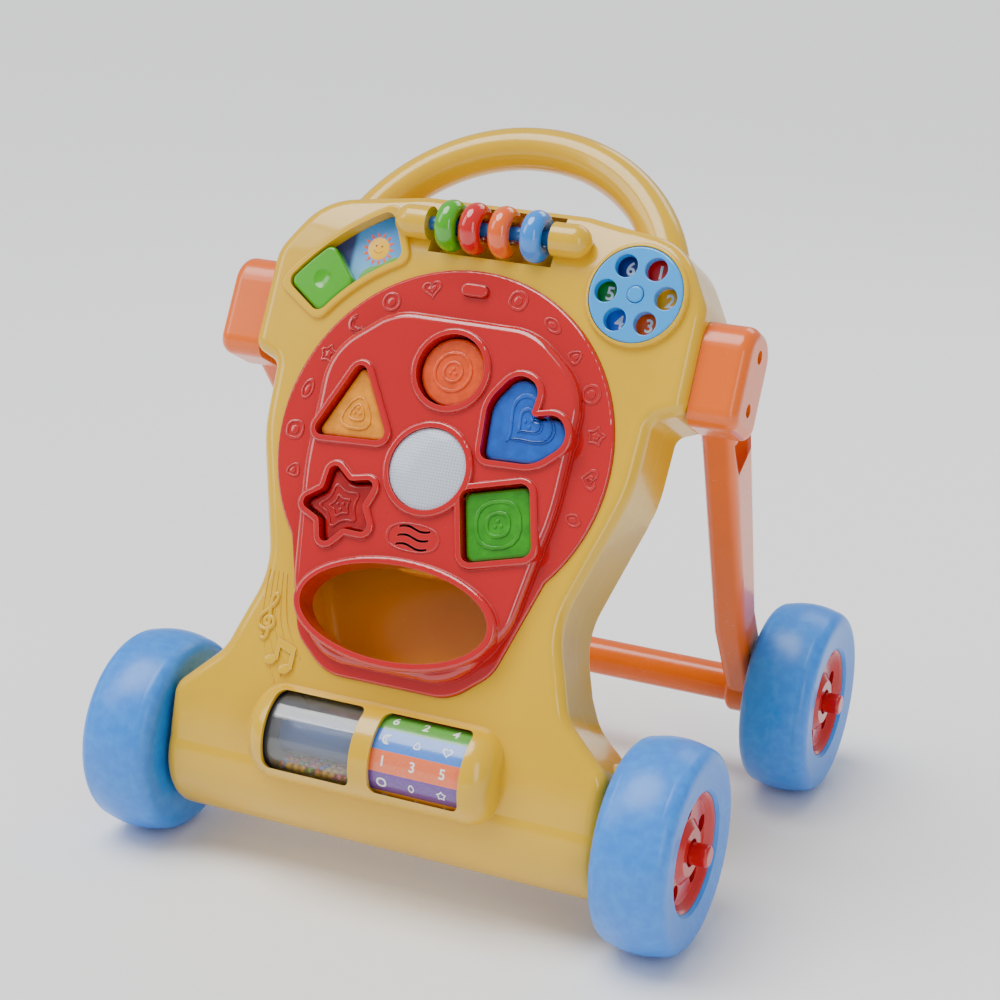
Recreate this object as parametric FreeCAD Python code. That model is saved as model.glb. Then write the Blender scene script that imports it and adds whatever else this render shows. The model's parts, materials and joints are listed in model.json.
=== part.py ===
import FreeCAD, Part
import math
import os

# Push-along baby walker: a hollow two-shell panel with an arched handle that leans back over two front
# wheels, held up by two rear legs. Millimetres.
# Most pieces are drawn in the panel frame: u to the right, v up along the panel, w out of its face, with
# the centre of the red disc at 0, 0, 0. stand() tilts them into the world frame, with +Z up, the panel
# facing -Y, the floor at z = 0 and the origin under the middle of the bounding box.

os.makedirs("parts", exist_ok=True)

# --- driving dimensions -------------------------------------------------------------------------
LEAN = 26.0                 # the panel face leans back from vertical, degrees
WALL = 3.0                  # moulded wall of the two shells
GAP = 0.35                  # clearance between pieces of different bodies
FIT = 0.05                  # radial clearance of a shaft in its bore
SEAT = 0.25                 # clearance between fixed pieces

SHOULDER_HALF = 159.0       # half width of the panel at the shoulders
WAIST_HALF = 107.0          # half width at the waist
BASE_HALF = 160.0           # half length of the base tube
DECK_TOP = 172.0            # top edge of the panel, under the handle opening
FACE_TOP = 118.0            # the flat face ends here and the deck bends back
DECK_R = 110.0              # bend radius of the deck
FACE_FOOT = -140.0          # the flat face ends here and bends down to the base
FOOT_R = 300.0              # bend radius above the base
BACK = -66.0                # back face of the panel
PARTING = -34.0             # the two shells meet here
TUBE_R = 45.0               # radius of the base tube
AXLE_TURN = 19.2            # the base tube meets the foot bend at this angle
TUBE_PROUD = 1.2            # and stands this far out of it
EDGE_R = 9.0                # rounding of the shells' outer edges

HANDLE_R = 15.0             # radius of the grip
HANDLE_TOP = 226.0          # height of the grip's axis in the middle
HANDLE_TOP_W = -56.0
HANDLE_END_U = 118.0        # the grip's axis enters the shoulders here
HANDLE_END_V = 142.0
HANDLE_END_W = -36.0

DISC_R = 121.0              # red panel
PANEL_WALL = 2.5
RIM_W = 2.5                 # its rim band stands this far out of the yellow face
PLATEAU_W = 12.0
LIP_W = 15.0
LIP = 4.5                   # width of the raised lips
GUIDE_WALL = 1.8            # thickness of the lips behind the plateau
GUIDE_W = -4.0              # the lips' walls reach in this far and guide the blocks

LENS_V = -18.6
LENS_R = 27.5
LENS_TRAVEL = 2.5
SPEAKER_V = -65.0
MOUTH_V = -116.5
MOUTH_A = 68.4
MOUTH_B = 31.4
MOUTH_LIP = 5.5

BLOCK_THICK = 26.0
BLOCK_TOP_W = 9.0
BLOCK_GAP = 1.3             # a block is this much smaller than its hole, all round

BIN_BACK_W = -52.0
BIN_WALL = 2.0

DIAL_U = 112.4
DIAL_V = 119.0
DIAL_R = 32.5
FINGER_PITCH_R = 21.0
FINGER_R = 7.75
DIAL_SCREW_R = 2.5
DIAL_COLLAR = 2.6           # wall of the collar round the dial

WINDOW_R0 = 136.0           # arc window over the picture card
WINDOW_R1 = 172.0
WINDOW_A0 = 25.5            # degrees to the left of upright
WINDOW_A1 = 56.0
WINDOW_FLOOR = -9.0
SLIDER_SPAN = 13.5          # degrees
CARD_THICK = 1.0

ROD_U = 2.0                 # middle of the ring rod
ROD_V = 149.0
ROD_W = 3.0
ROD_R = 4.7
BOSS_R = 11.5
BOSS_LEN = 15.0
RING_R = 17.8
RING_THICK = 15.0
RING_NAMES = ("green", "red", "orange", "blue")
RING_GAPS = (8.0, 2.8, 6.5, 8.3, 5.4)        # free rod before, between and after the rings
RECESS_GAP = 0.9                             # the recess clears the rings by this much

ROLLER_V = -206.0
ROLLER_W = -14.0
DRUM_R = 28.5
DRUM_LEN = 68.0
DRUM_WALL = 1.6
DRUM_CLEAR = 1.7            # between a drum and the housing round it
HOUSING_WALL = 2.8
HOUSING_END = 17.0          # the housing's domed end, beyond its cheek
CHEEK_IN = 6.0              # the cheeks stand this far outside the drums
BAND_HALF = 7.0             # yellow band between the two windows
WINDOW_TRIM = 3.0           # the roller window is this much shorter than a drum
WINDOW_HALF_HEIGHT = 26.5
ROLLER_AXLE_R = 2.5
CORE_R = 13.5
BEAD_R = 2.6

WHEEL_R = 71.0
WHEEL_WIDTH = 52.0
WHEEL_GAP = 3.0             # between the base end and the wheel
HUB_R = 40.0
AXLE_R = 3.0
BUSH_R = 6.0
BUSH_FLANGE_R = 9.0

REAR_REACH = 290.0          # from the front axle back to the rear axle, along Y
LEG_JOINT_V = 79.0
LEG_JOINT_W = -33.0
BRACKET_HALF = 36.0         # the bracket is twice this tall
BRACKET_OUT = 33.0          # it stands out of the shoulder this far
LEG_DEPTH = 42.0            # of the leg, front to back, at the top
LEG_DEPTH_FOOT = 30.0
LEG_THICK = 24.0
LEG_WALL = 3.5
BAR_R = 14.0                # rear cross bar

CELL_R = 7.1
CELL_LEN = 50.0
CELL_GAP = 1.0
BATTERY_V = 139.0
BATTERY_WALL = 1.6
DOOR_THICK = 2.4
DOOR_RIM = 5.0
SWITCH_U = 62.0
SWITCH_V = 139.0
SWITCH_TRAVEL = 3.0

SCREW_R = 1.5
SCREW_HEAD_R = 3.4
SCREW_HEAD = 2.2
SHELL_SCREWS = ((-140.0, 78.0), (140.0, 78.0), (-129.6, 12.0), (129.6, 12.0), (-98.0, -118.0), (98.0, -118.0),
                (-100.0, -192.0), (100.0, -192.0))

UP = FreeCAD.Vector(0, 0, 1)
RIGHT = FreeCAD.Vector(1, 0, 0)
OUT = FreeCAD.Vector(0, -1, 0)

# --- derived places --------------------------------------------------------------------------------
foot_turn = math.radians(AXLE_TURN)
tube_reach = FOOT_R - TUBE_R + TUBE_PROUD
TUBE_V = FACE_FOOT - tube_reach * math.sin(foot_turn)
TUBE_W = -FOOT_R + tube_reach * math.cos(foot_turn)
lean = math.radians(LEAN)
FRONT_Y = TUBE_V * math.sin(lean) - TUBE_W * math.cos(lean)
FRONT_Z = TUBE_V * math.cos(lean) + TUBE_W * math.sin(lean)
SHIFT_Y = -(FRONT_Y + REAR_REACH / 2)
SHIFT_Z = WHEEL_R - FRONT_Z
HOUSING_R = DRUM_R + DRUM_CLEAR + HOUSING_WALL
HOUSING_HALF = DRUM_LEN + CHEEK_IN + HOUSING_END
WINDOW_LEN = DRUM_LEN - WINDOW_TRIM
ROD_HALF = (sum(RING_GAPS) + len(RING_NAMES) * RING_THICK) / 2
WHEEL_IN = BASE_HALF + WHEEL_GAP
WHEEL_OUT = WHEEL_IN + WHEEL_WIDTH
REAR_Y = REAR_REACH / 2


# --- drawing helpers ---------------------------------------------------------------------------------
def at(u, v, w=0.0):
    return FreeCAD.Vector(u, -w, v)


def stand(shape):
    shape = shape.copy()
    shape.rotate(FreeCAD.Vector(0, 0, 0), RIGHT, -LEAN)
    shape.translate(FreeCAD.Vector(0, SHIFT_Y, SHIFT_Z))
    return shape


def world_point(u, v, w):
    y = v * math.sin(lean) - w * math.cos(lean) + SHIFT_Y
    z = v * math.cos(lean) + w * math.sin(lean) + SHIFT_Z
    return FreeCAD.Vector(u, y, z)


def keep(name, *shapes, panel=True):
    solids = []
    for shape in shapes:
        placed = stand(shape) if panel else shape
        solids.extend(placed.Solids)
    body = solids[0] if len(solids) == 1 else Part.makeCompound(solids)
    body.exportStep("parts/" + name + ".step")


def rounded(corners):
    """A closed wire through corner points, each corner rounded by its own radius."""
    edges = []
    starts = []
    ends = []
    count = len(corners)
    for i, (point, radius) in enumerate(corners):
        before = (corners[i - 1][0] - point).normalize()
        after = (corners[(i + 1) % count][0] - point).normalize()
        half = before.getAngle(after) / 2
        if radius <= 0 or half > math.pi / 2 - 1e-4:
            starts.append(point)
            ends.append(point)
            edges.append(None)
            continue
        reach = radius / math.tan(half)
        middle = (before + after).normalize()
        crown = point + middle * (radius / math.sin(half) - radius)
        starts.append(point + before * reach)
        ends.append(point + after * reach)
        edges.append(Part.Arc(starts[-1], crown, ends[-1]).toShape())
    chain = []
    for i in range(count):
        if edges[i] is not None:
            chain.append(edges[i])
        start = ends[i]
        end = starts[(i + 1) % count]
        if start.distanceToPoint(end) > 1e-6:
            chain.append(Part.LineSegment(start, end).toShape())
    return Part.Wire(chain)


def mirrored(half):
    """Corner list for a wire that is symmetric about u = 0, from its right half, top to bottom."""
    right = [(at(u, v), r) for u, v, r in half]
    left = [(at(-u, v), r) for u, v, r in reversed(half)]
    return right + left


def plate(wire, w0, w1):
    """Solid of an outline drawn at w = 0, from depth w0 to w1."""
    face = Part.Face(wire)
    face.translate(OUT * w0)
    return face.extrude(OUT * (w1 - w0))


def offset(wire, amount):
    if abs(amount) < 1e-9:
        return wire
    return wire.makeOffset2D(amount)


def round_edges(solid, radius, chosen):
    edges = [edge for edge in solid.Edges if chosen(edge)]
    return solid.makeFillet(radius, edges)


def all_at_w(w, tolerance=0.01):
    def test(edge):
        box = edge.BoundBox
        return abs(-box.YMin - w) < tolerance and abs(-box.YMax - w) < tolerance
    return test


def soft_plate(wire, w0, w1, radius):
    """Plate with its front edge rounded."""
    return round_edges(plate(wire, w0, w1), radius, all_at_w(w1))


def drum(u, v, radius, w0, w1):
    """Cylinder standing out of the panel, from depth w0 to w1."""
    return Part.makeCylinder(radius, w1 - w0, at(u, v, w0), OUT)


def roll(u0, u1, v, w, radius):
    """Cylinder lying along u."""
    return Part.makeCylinder(radius, u1 - u0, at(u0, v, w), RIGHT)


def box(u0, u1, v0, v1, w0, w1):
    return Part.makeBox(u1 - u0, w1 - w0, v1 - v0, at(u0, v0, w1))


def turned(profile, axis_point, axis):
    """Solid of revolution of a closed polygon of points."""
    face = Part.Face(Part.makePolygon(profile + [profile[0]]))
    return face.revolve(axis_point, axis, 360)


def circle_wire(u, v, radius):
    return Part.Wire(Part.makeCircle(radius, at(u, v), OUT))


def ellipse_wire(u, v, a, b):
    ellipse = Part.Ellipse(at(u, v), a, b)
    ellipse.Axis = FreeCAD.Vector(0, -1, 0)
    ellipse.XAxis = RIGHT
    return Part.Wire(ellipse.toShape())


def sector_plate(r0, r1, a0, a1, w0, w1, corner):
    """Ring sector about the disc centre, its corners rounded. Angles are degrees to the left of upright."""
    def spot(radius, angle):
        turn = math.radians(angle)
        return at(-radius * math.sin(turn), radius * math.cos(turn))
    middle = (a0 + a1) / 2
    outer = Part.Arc(spot(r1, a0), spot(r1, middle), spot(r1, a1)).toShape()
    inner = Part.Arc(spot(r0, a1), spot(r0, middle), spot(r0, a0)).toShape()
    side1 = Part.LineSegment(spot(r1, a1), spot(r0, a1)).toShape()
    side0 = Part.LineSegment(spot(r0, a0), spot(r1, a0)).toShape()
    solid = plate(Part.Wire([outer, side1, inner, side0]), w0, w1)
    return round_edges(solid, corner, lambda e: e.BoundBox.XLength < 0.1 and e.BoundBox.ZLength < 0.1)


# --- the hollow body, before it is split into two shells ---------------------------------------------
body_half = [
    (60.0, DECK_TOP, 30.0),
    (134.0, 160.0, 44.0),
    (SHOULDER_HALF, 118.0, 26.0),
    (SHOULDER_HALF, 48.0, 10.0),
    (SHOULDER_HALF - 20.0, 40.0, 9.0),
    (SHOULDER_HALF - 22.0, -8.0, 110.0),
    (WAIST_HALF, -102.0, 60.0),
    (WAIST_HALF + 20.0, -160.0, 34.0),
    (BASE_HALF, -190.0, 16.0),
    (BASE_HALF, -300.0, 0.0),
]
body_outline = rounded(mirrored(body_half))


def arc_points(centre_v, centre_w, radius, a0, a1):
    """Start, middle and end of an arc in the side view. Angles run from straight out, upward."""
    points = []
    for angle in (a0, (a0 + a1) / 2, a1):
        turn = math.radians(angle)
        points.append(at(-200.0, centre_v + radius * math.sin(turn), centre_w + radius * math.cos(turn)))
    return points


def side_profile():
    """Side view of the panel without its tube: flat face, deck bending back, foot bending down."""
    deck = arc_points(FACE_TOP, -DECK_R, DECK_R, 0.0, 42.0)
    foot = arc_points(FACE_FOOT, -FOOT_R, FOOT_R, -AXLE_TURN, 0.0)
    lip = at(-200.0, deck[2].z, BACK)
    knee = at(-200.0, -150.0, BACK)
    ankle = at(-200.0, TUBE_V + 18.0, TUBE_W - 36.0)
    heart = at(-200.0, TUBE_V, TUBE_W)
    return Part.Wire([
        Part.Arc(foot[0], foot[1], foot[2]).toShape(),
        Part.LineSegment(foot[2], deck[0]).toShape(),
        Part.Arc(deck[0], deck[1], deck[2]).toShape(),
        Part.LineSegment(deck[2], lip).toShape(),
        Part.LineSegment(lip, knee).toShape(),
        Part.LineSegment(knee, ankle).toShape(),
        Part.LineSegment(ankle, heart).toShape(),
        Part.LineSegment(heart, foot[0]).toShape(),
    ])


def handle_ring(radius):
    """The grip: part of a ring whose plane is tilted back, ending inside the shoulders."""
    rise = math.hypot(HANDLE_TOP - HANDLE_END_V, HANDLE_TOP_W - HANDLE_END_W)
    big = (HANDLE_END_U ** 2 + rise ** 2) / (2 * rise)
    up_plane = (at(0, HANDLE_TOP, HANDLE_TOP_W) - at(0, HANDLE_END_V, HANDLE_END_W)).normalize()
    centre = at(0, HANDLE_TOP, HANDLE_TOP_W) - up_plane * big
    normal = up_plane.cross(RIGHT)
    ring = Part.makeTorus(big, radius, centre, normal)
    return ring.common(box(-200, 200, HANDLE_END_V - 16.0, 300, -200, 100))


def front_depth(v):
    if v > FACE_TOP:
        return -DECK_R + math.sqrt(DECK_R ** 2 - (v - FACE_TOP) ** 2)
    if v < FACE_FOOT:
        return -FOOT_R + math.sqrt(FOOT_R ** 2 - (v - FACE_FOOT) ** 2)
    return 0.0


def body_solid(inset):
    outline = offset(body_outline, -inset)
    slab = plate(outline, -150.0, 60.0)
    face = Part.Face(offset(side_profile(), -inset))
    slab = slab.common(face.extrude(RIGHT * 400))
    radius = EDGE_R - inset * 0.8

    def rim(edge):
        box_ = edge.BoundBox
        if box_.XLength < 0.5 and box_.ZLength < 0.5:
            return False
        if box_.XMax - box_.XMin > 2 * SHOULDER_HALF - 90 and box_.ZLength < 1 and box_.ZMax < FACE_TOP:
            return False
        for k in (0.15, 0.5, 0.85):
            first, last = edge.ParameterRange
            point = edge.valueAt(first + (last - first) * k)
            if abs(-point.y - (front_depth(point.z) - inset)) > 0.05 + inset * 0.12:
                return False
        return box_.ZMin > TUBE_V - TUBE_R
    slab = round_edges(slab, radius, rim)

    def back_rim(edge):
        box_ = edge.BoundBox
        level = abs(-box_.YMin - (BACK + inset)) < 0.01 and abs(-box_.YMax - (BACK + inset)) < 0.01
        return level and not (box_.ZMax < -130 and box_.ZLength < 1)
    slab = round_edges(slab, radius * 0.6, back_rim)
    tube = roll(-BASE_HALF + inset, BASE_HALF - inset, TUBE_V, TUBE_W, TUBE_R - inset)
    tube = tube.makeFillet(radius, [e for e in tube.Edges if e.BoundBox.XLength < 0.1])
    body = slab.fuse(tube).fuse(handle_ring(HANDLE_R - inset))
    return body.removeSplitter()



def front_region():
    """Everything in front of the parting surface, as a solid along the whole width."""
    corners = [(-330.0, TUBE_W), (-190.0, TUBE_W), (-150.0, PARTING), (134.0, PARTING),
               (HANDLE_END_V, HANDLE_END_W), (HANDLE_TOP, HANDLE_TOP_W), (300.0, HANDLE_TOP_W - 20.0),
               (300.0, 100.0), (-330.0, 100.0)]
    points = [at(-220.0, v, w) for v, w in corners]
    return Part.Face(Part.makePolygon(points + [points[0]])).extrude(RIGHT * 440)


outer_body = body_solid(0.0)
inner_body = body_solid(WALL)
walls = outer_body.cut(inner_body)
front_half = front_region()

# --- red panel outline, shared by the shell's opening and the bin ------------------------------------
lobe_half = [
    (97.0, -66.0, 0.0),
    (72.0, -142.0, 28.0),
    (46.0, -163.5, 34.0),
]


def red_outline(grow):
    """Outline of the red panel: a disc with a lobe under it."""
    disc = Part.Face(circle_wire(0.0, 0.0, DISC_R + grow))
    corners = list(reversed(mirrored(lobe_half)))
    lobe = Part.Face(offset(rounded(corners), grow))
    return disc.fuse(lobe).removeSplitter().Faces[0].OuterWire


# --- shape holes -------------------------------------------------------------------------------------
def polygon_hole(corners, centre, turn_deg, radius):
    turn = math.radians(turn_deg)
    points = []
    for x, y in corners:
        u = centre[0] + x * math.cos(turn) - y * math.sin(turn)
        v = centre[1] + x * math.sin(turn) + y * math.cos(turn)
        points.append((at(u, v), radius))
    return rounded(points)


def triangle_hole():
    return polygon_hole([(0, 36.5), (29.5, -20.0), (-29.5, -20.0)], (-63.0, 13.0), 3.0, 5.5)


def circle_hole():
    return circle_wire(0.0, 49.0, 24.5)


def heart_hole():
    """Two lobes, a point and a notch. The notch points up and to the right."""
    half = [(12.0, 30.0, 11.0), (31.0, 24.0, 13.0), (28.0, -4.0, 24.0)]
    corners = [(0.0, 13.0, 2.5)] + half + [(0.0, -31.0, 7.0)] + [(-x, y, r) for x, y, r in reversed(half)]
    turn = math.radians(-42.0)
    points = []
    for x, y, radius in corners:
        u = 55.0 + x * math.cos(turn) - y * math.sin(turn)
        v = 17.0 + x * math.sin(turn) + y * math.cos(turn)
        points.append((at(u, v), radius))
    return rounded(points)


def square_hole():
    half = 24.5
    return polygon_hole([(half, half), (half, -half), (-half, -half), (-half, half)], (56.0, -46.0), 15.0, 7.0)


def star_hole():
    corners = []
    for k in range(5):
        for radius, angle in ((31.5, 41.0 + 72.0 * k), (17.0, 77.0 + 72.0 * k)):
            turn = math.radians(angle)
            corners.append((-57.0 + radius * math.cos(turn), -52.0 + radius * math.sin(turn), radius > 20))
    corners.reverse()
    return rounded([(at(u, v), 4.5 if tip else 5.0) for u, v, tip in corners])


holes = {"triangle": triangle_hole(), "circle": circle_hole(), "heart": heart_hole(), "square": square_hole(),
         "star": star_hole()}
mouth = ellipse_wire(0.0, MOUTH_V, MOUTH_A, MOUTH_B)

# --- front shell -------------------------------------------------------------------------------------
shell = walls.common(front_half)
window_rim = sector_plate(WINDOW_R0 - 4.5, WINDOW_R1 + 4.5, WINDOW_A0 - 2.0, WINDOW_A1 + 2.0,
                          WINDOW_FLOOR - WALL, 3.0, 9.0)
window_rim = round_edges(window_rim, 1.8, all_at_w(3.0))
window_hole = sector_plate(WINDOW_R0, WINDOW_R1, WINDOW_A0, WINDOW_A1, WINDOW_FLOOR, 30.0, 7.0)
dial_boss = drum(DIAL_U, DIAL_V, DIAL_R + GAP + DIAL_COLLAR, -14.0, 4.0)
dial_boss = round_edges(dial_boss, 2.0, all_at_w(4.0))
recess_half_v = RING_R + RECESS_GAP
recess = (ROD_U - ROD_HALF, ROD_U + ROD_HALF, ROD_V - recess_half_v, ROD_V + recess_half_v)
recess_floor = -20.0
recess_tub = box(recess[0] - WALL, recess[1] + WALL, recess[2] - 2.0, recess[3] + 2.0, recess_floor - WALL, -2.0)
recess_tub = recess_tub.common(outer_body)
housing = roll(-HOUSING_HALF, HOUSING_HALF, ROLLER_V, ROLLER_W, HOUSING_R)
housing = housing.makeFillet(HOUSING_R * 0.6, [e for e in housing.Edges if e.BoundBox.XLength < 0.1])
housing = housing.common(front_half)
shell = shell.fuse([window_rim, dial_boss, recess_tub, housing])
for side in (-1, 1):
    mouth_u = ROD_U + side * ROD_HALF
    start = min(mouth_u, mouth_u + side * BOSS_LEN)
    boss = roll(start, start + BOSS_LEN, ROD_V, ROD_W, BOSS_R)
    dome = Part.makeSphere(BOSS_R, at(mouth_u + side * BOSS_LEN, ROD_V, ROD_W))
    shell = shell.fuse(boss.fuse(dome).common(box(-90, 90, 120, 168.5, -12, 40)))
shell = shell.cut([
    plate(red_outline(SEAT), -20.0, 30.0),
    window_hole,
    drum(DIAL_U, DIAL_V, DIAL_R + GAP, -11.0, 40.0),
    box(recess[0], recess[1], recess[2], recess[3], recess_floor, 40.0),
    roll(ROD_U - ROD_HALF - 11.0, ROD_U + ROD_HALF + 11.0, ROD_V, ROD_W, ROD_R + FIT),
    roll(-DRUM_LEN - CHEEK_IN, DRUM_LEN + CHEEK_IN, ROLLER_V, ROLLER_W, HOUSING_R - HOUSING_WALL),
])
for side in (-1, 1):
    start = BAND_HALF if side > 0 else -BAND_HALF - WINDOW_LEN
    opening = box(start, start + WINDOW_LEN, ROLLER_V - WINDOW_HALF_HEIGHT, ROLLER_V + WINDOW_HALF_HEIGHT,
                  ROLLER_W + 12.0, 40.0)
    opening = round_edges(opening, 5.0, lambda e: e.BoundBox.YLength > 20)
    shell = shell.cut(opening)
    cheek_u = side * (DRUM_LEN + CHEEK_IN)
    cheek = roll(min(cheek_u, cheek_u + side * 3.0), max(cheek_u, cheek_u + side * 3.0), ROLLER_V, ROLLER_W,
                 HOUSING_R - HOUSING_WALL - 0.1)
    shell = shell.fuse(cheek)
shell = shell.cut([
    roll(-DRUM_LEN - 20.0, DRUM_LEN + 20.0, ROLLER_V, ROLLER_W, ROLLER_AXLE_R + FIT),
    roll(-200.0, 200.0, TUBE_V, TUBE_W, BUSH_R + FIT),
    drum(DIAL_U, DIAL_V, DIAL_SCREW_R, -40.0, 0.0),
])
screw_posts = []
for u, v in SHELL_SCREWS:
    post = drum(u, v, 4.2, PARTING, -1.5).common(outer_body)
    screw_posts.append(post)
leg_screw_spots = [LEG_JOINT_V - 18.0, LEG_JOINT_V + 18.0]
leg_screw_holes = [roll(-200.0, 200.0, v, LEG_JOINT_W, 2.05) for v in leg_screw_spots]
shell = shell.fuse(screw_posts).cut(leg_screw_holes)
shell = shell.cut([drum(u, v, SCREW_R + FIT, PARTING - 1.0, PARTING + 16.0) for u, v in SHELL_SCREWS])
keep("front_shell", shell)

# --- back shell: battery bay, switch slot, screw wells -------------------------------------------------
bay_half_u = CELL_LEN / 2 + 4.0
bay_half_v = 2 * CELL_R + CELL_GAP / 2 + 0.8
back = walls.cut(front_half)
back_posts = []
for u, v in SHELL_SCREWS:
    post = drum(u, v, 5.4, BACK - 40.0, PARTING).common(outer_body)
    back_posts.append(post)
back = back.fuse(back_posts).cut(leg_screw_holes)
back = back.cut(plate(rounded(mirrored([(bay_half_u + DOOR_RIM, BATTERY_V + bay_half_v + DOOR_RIM, 4.0),
                                        (bay_half_u + DOOR_RIM, BATTERY_V - bay_half_v - DOOR_RIM, 4.0)])),
                      BACK - 5.0, BACK + 5.0))
switch_slot = box(SWITCH_U - 4.0 - SWITCH_TRAVEL, SWITCH_U + 4.0 + SWITCH_TRAVEL, SWITCH_V - 3.5, SWITCH_V + 3.5,
                  BACK - 5.0, BACK + 5.0)
back = back.cut([switch_slot, roll(-200.0, 200.0, TUBE_V, TUBE_W, BUSH_R + FIT)])
back_screws = []
for u, v in SHELL_SCREWS:
    seat = PARTING - 8.0
    back = back.cut([drum(u, v, SCREW_R + 0.3, seat - 1.0, PARTING + 1.0), drum(u, v, SCREW_HEAD_R + 0.3, -130.0, seat)])
    shank = drum(u, v, SCREW_R, seat, PARTING + 14.0)
    head = drum(u, v, SCREW_HEAD_R, seat - SCREW_HEAD, seat)
    slot = box(u - 2.2, u + 2.2, v - 0.4, v + 0.4, seat - SCREW_HEAD, seat - SCREW_HEAD + 1.0)
    cross = box(u - 0.4, u + 0.4, v - 2.2, v + 2.2, seat - SCREW_HEAD, seat - SCREW_HEAD + 1.0)
    back_screws.append(shank.fuse(head).cut([slot, cross]))
keep("back_shell", back)
keep("shell_screws", *back_screws)

# --- red sorter panel ----------------------------------------------------------------------------------
rim_plate = soft_plate(red_outline(0.0), -WALL + 0.4, RIM_W, 2.0)
flange_back = -WALL - 3.8
flange = plate(red_outline(3.0), flange_back, -WALL - 1.6).cut(plate(red_outline(-6.0), -20.0, 20.0))
collar = plate(red_outline(0.0), flange_back, -WALL + 0.6).cut(plate(red_outline(-PANEL_WALL), -20.0, 20.0))
plateau_half = [
    (52.0, 86.0, 44.0),
    (95.0, 52.0, 46.0),
    (93.0, -30.0, 200.0),
    (80.0, -112.0, 40.0),
    (50.0, -155.5, 40.0),
]
plateau_wire = rounded(mirrored(plateau_half))
plateau = soft_plate(plateau_wire, -WALL + 0.4, PLATEAU_W, 6.0)
panel = rim_plate.fuse([plateau, flange, collar])
hollow = plate(offset(red_outline(0.0), -PANEL_WALL), -20.0, RIM_W - PANEL_WALL)
plateau_hollow = soft_plate(offset(plateau_wire, -PANEL_WALL), -20.0, PLATEAU_W - PANEL_WALL, 3.5)
panel = panel.cut([hollow, plateau_hollow])
lips = []
for wire in holes.values():
    lips.append(soft_plate(offset(wire, LIP), GUIDE_W, LIP_W, 1.9))
lip_wire = ellipse_wire(0.0, MOUTH_V, MOUTH_A + MOUTH_LIP, MOUTH_B + MOUTH_LIP)
mouth_lip = soft_plate(lip_wire, -WALL, LIP_W + 3.0, 2.6)
mouth_lip = mouth_lip.common(plate(offset(red_outline(0.0), -0.5), -20.0, 30.0))
lens_ring = soft_plate(circle_wire(0.0, LENS_V, LENS_R + 5.0), PLATEAU_W - PANEL_WALL, LIP_W + 0.5, 2.0)
panel = panel.fuse(lips + [mouth_lip, lens_ring])
for wire in holes.values():
    panel = panel.cut(plate(wire, -30.0, 40.0))
    ring_gap = plate(offset(wire, LIP + 2.0), -30.0, PLATEAU_W - PANEL_WALL).cut(
        plate(offset(wire, GUIDE_WALL), -31.0, 40.0))
    panel = panel.cut(ring_gap.common(plate(offset(plateau_wire, -PANEL_WALL - 1.0), -31.0, 40.0)))
panel = panel.cut([
    plate(mouth, -30.0, 40.0),
    drum(0.0, LENS_V, LENS_R + GAP, -30.0, 40.0),
    drum(0.0, LENS_V, LENS_R + 3.6, -30.0, PLATEAU_W - PANEL_WALL),
])
clip_slot = (10.0, 4.7, 106.6)          # half length, half height, place up the rim
clip_wire = rounded(mirrored([(clip_slot[0], clip_slot[2] + clip_slot[1], clip_slot[1] - 0.05),
                              (clip_slot[0], clip_slot[2] - clip_slot[1], clip_slot[1] - 0.05)]))
panel = panel.cut(plate(clip_wire, -30.0, 40.0))
for k in (-1, 0, 1):
    slot_v = SPEAKER_V + 6.0 * k
    left = [at(-11.5 + 23.0 * i / 6, slot_v + 1.3 * math.sin(math.pi * i / 3)) for i in range(7)]
    upper = Part.BSplineCurve()
    upper.interpolate([p + UP * 0.8 for p in left])
    lower = Part.BSplineCurve()
    lower.interpolate([p - UP * 0.8 for p in left])
    ends = [Part.LineSegment(left[0] + UP * 0.8, left[0] - UP * 0.8).toShape(),
            Part.LineSegment(left[-1] + UP * 0.8, left[-1] - UP * 0.8).toShape()]
    wave = Part.Wire(Part.__sortEdges__([upper.toShape(), ends[0], lower.toShape(), ends[1]]))
    panel = panel.cut(plate(wave, -30.0, 40.0))
keep("sorter_panel", panel)

clip_head = soft_plate(offset(clip_wire, -0.3), RIM_W - PANEL_WALL, RIM_W + 4.0, 1.6)
clip_stem = box(-5.0, 5.0, clip_slot[2] - 2.0, clip_slot[2] + 2.0, -WALL - 4.0, RIM_W)
clip_tooth = box(-5.0, 5.0, clip_slot[2] - 3.5, clip_slot[2] + 2.0, -WALL - 4.0, -WALL - 2.9)
keep("panel_clip", clip_head.fuse([clip_stem, clip_tooth]))

# --- bin behind the panel ------------------------------------------------------------------------------
bin_half = [
    (60.0, 112.5, 62.0),
    (114.0, 50.0, 66.0),
    (106.0, -56.0, 70.0),
    (70.0, -146.0, 30.0),
    (44.0, -158.0, 30.0),
]
bin_wire = rounded(mirrored(bin_half))
bin_top = flange_back - SEAT
tub = plate(bin_wire, BIN_BACK_W, bin_top)
tub = round_edges(tub, 9.0, all_at_w(BIN_BACK_W))
tub_hollow = plate(offset(bin_wire, -BIN_WALL), BIN_BACK_W + BIN_WALL, bin_top + 1.0)
tub_hollow = round_edges(tub_hollow, 7.0, all_at_w(BIN_BACK_W + BIN_WALL))
sorter_bin = tub.cut(tub_hollow).cut([drum(u, v, 4.2 + SEAT, -60.0, 0.0) for u, v in SHELL_SCREWS])
keep("sorter_bin", sorter_bin)

# --- shape blocks --------------------------------------------------------------------------------------
for name, wire in holes.items():
    shrunk = offset(wire, -BLOCK_GAP)
    block = plate(shrunk, BLOCK_TOP_W - BLOCK_THICK, BLOCK_TOP_W)
    block = round_edges(block, 2.6, all_at_w(BLOCK_TOP_W))
    block = round_edges(block, 2.0, all_at_w(BLOCK_TOP_W - BLOCK_THICK))
    keep("block_" + name, block)

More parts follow.
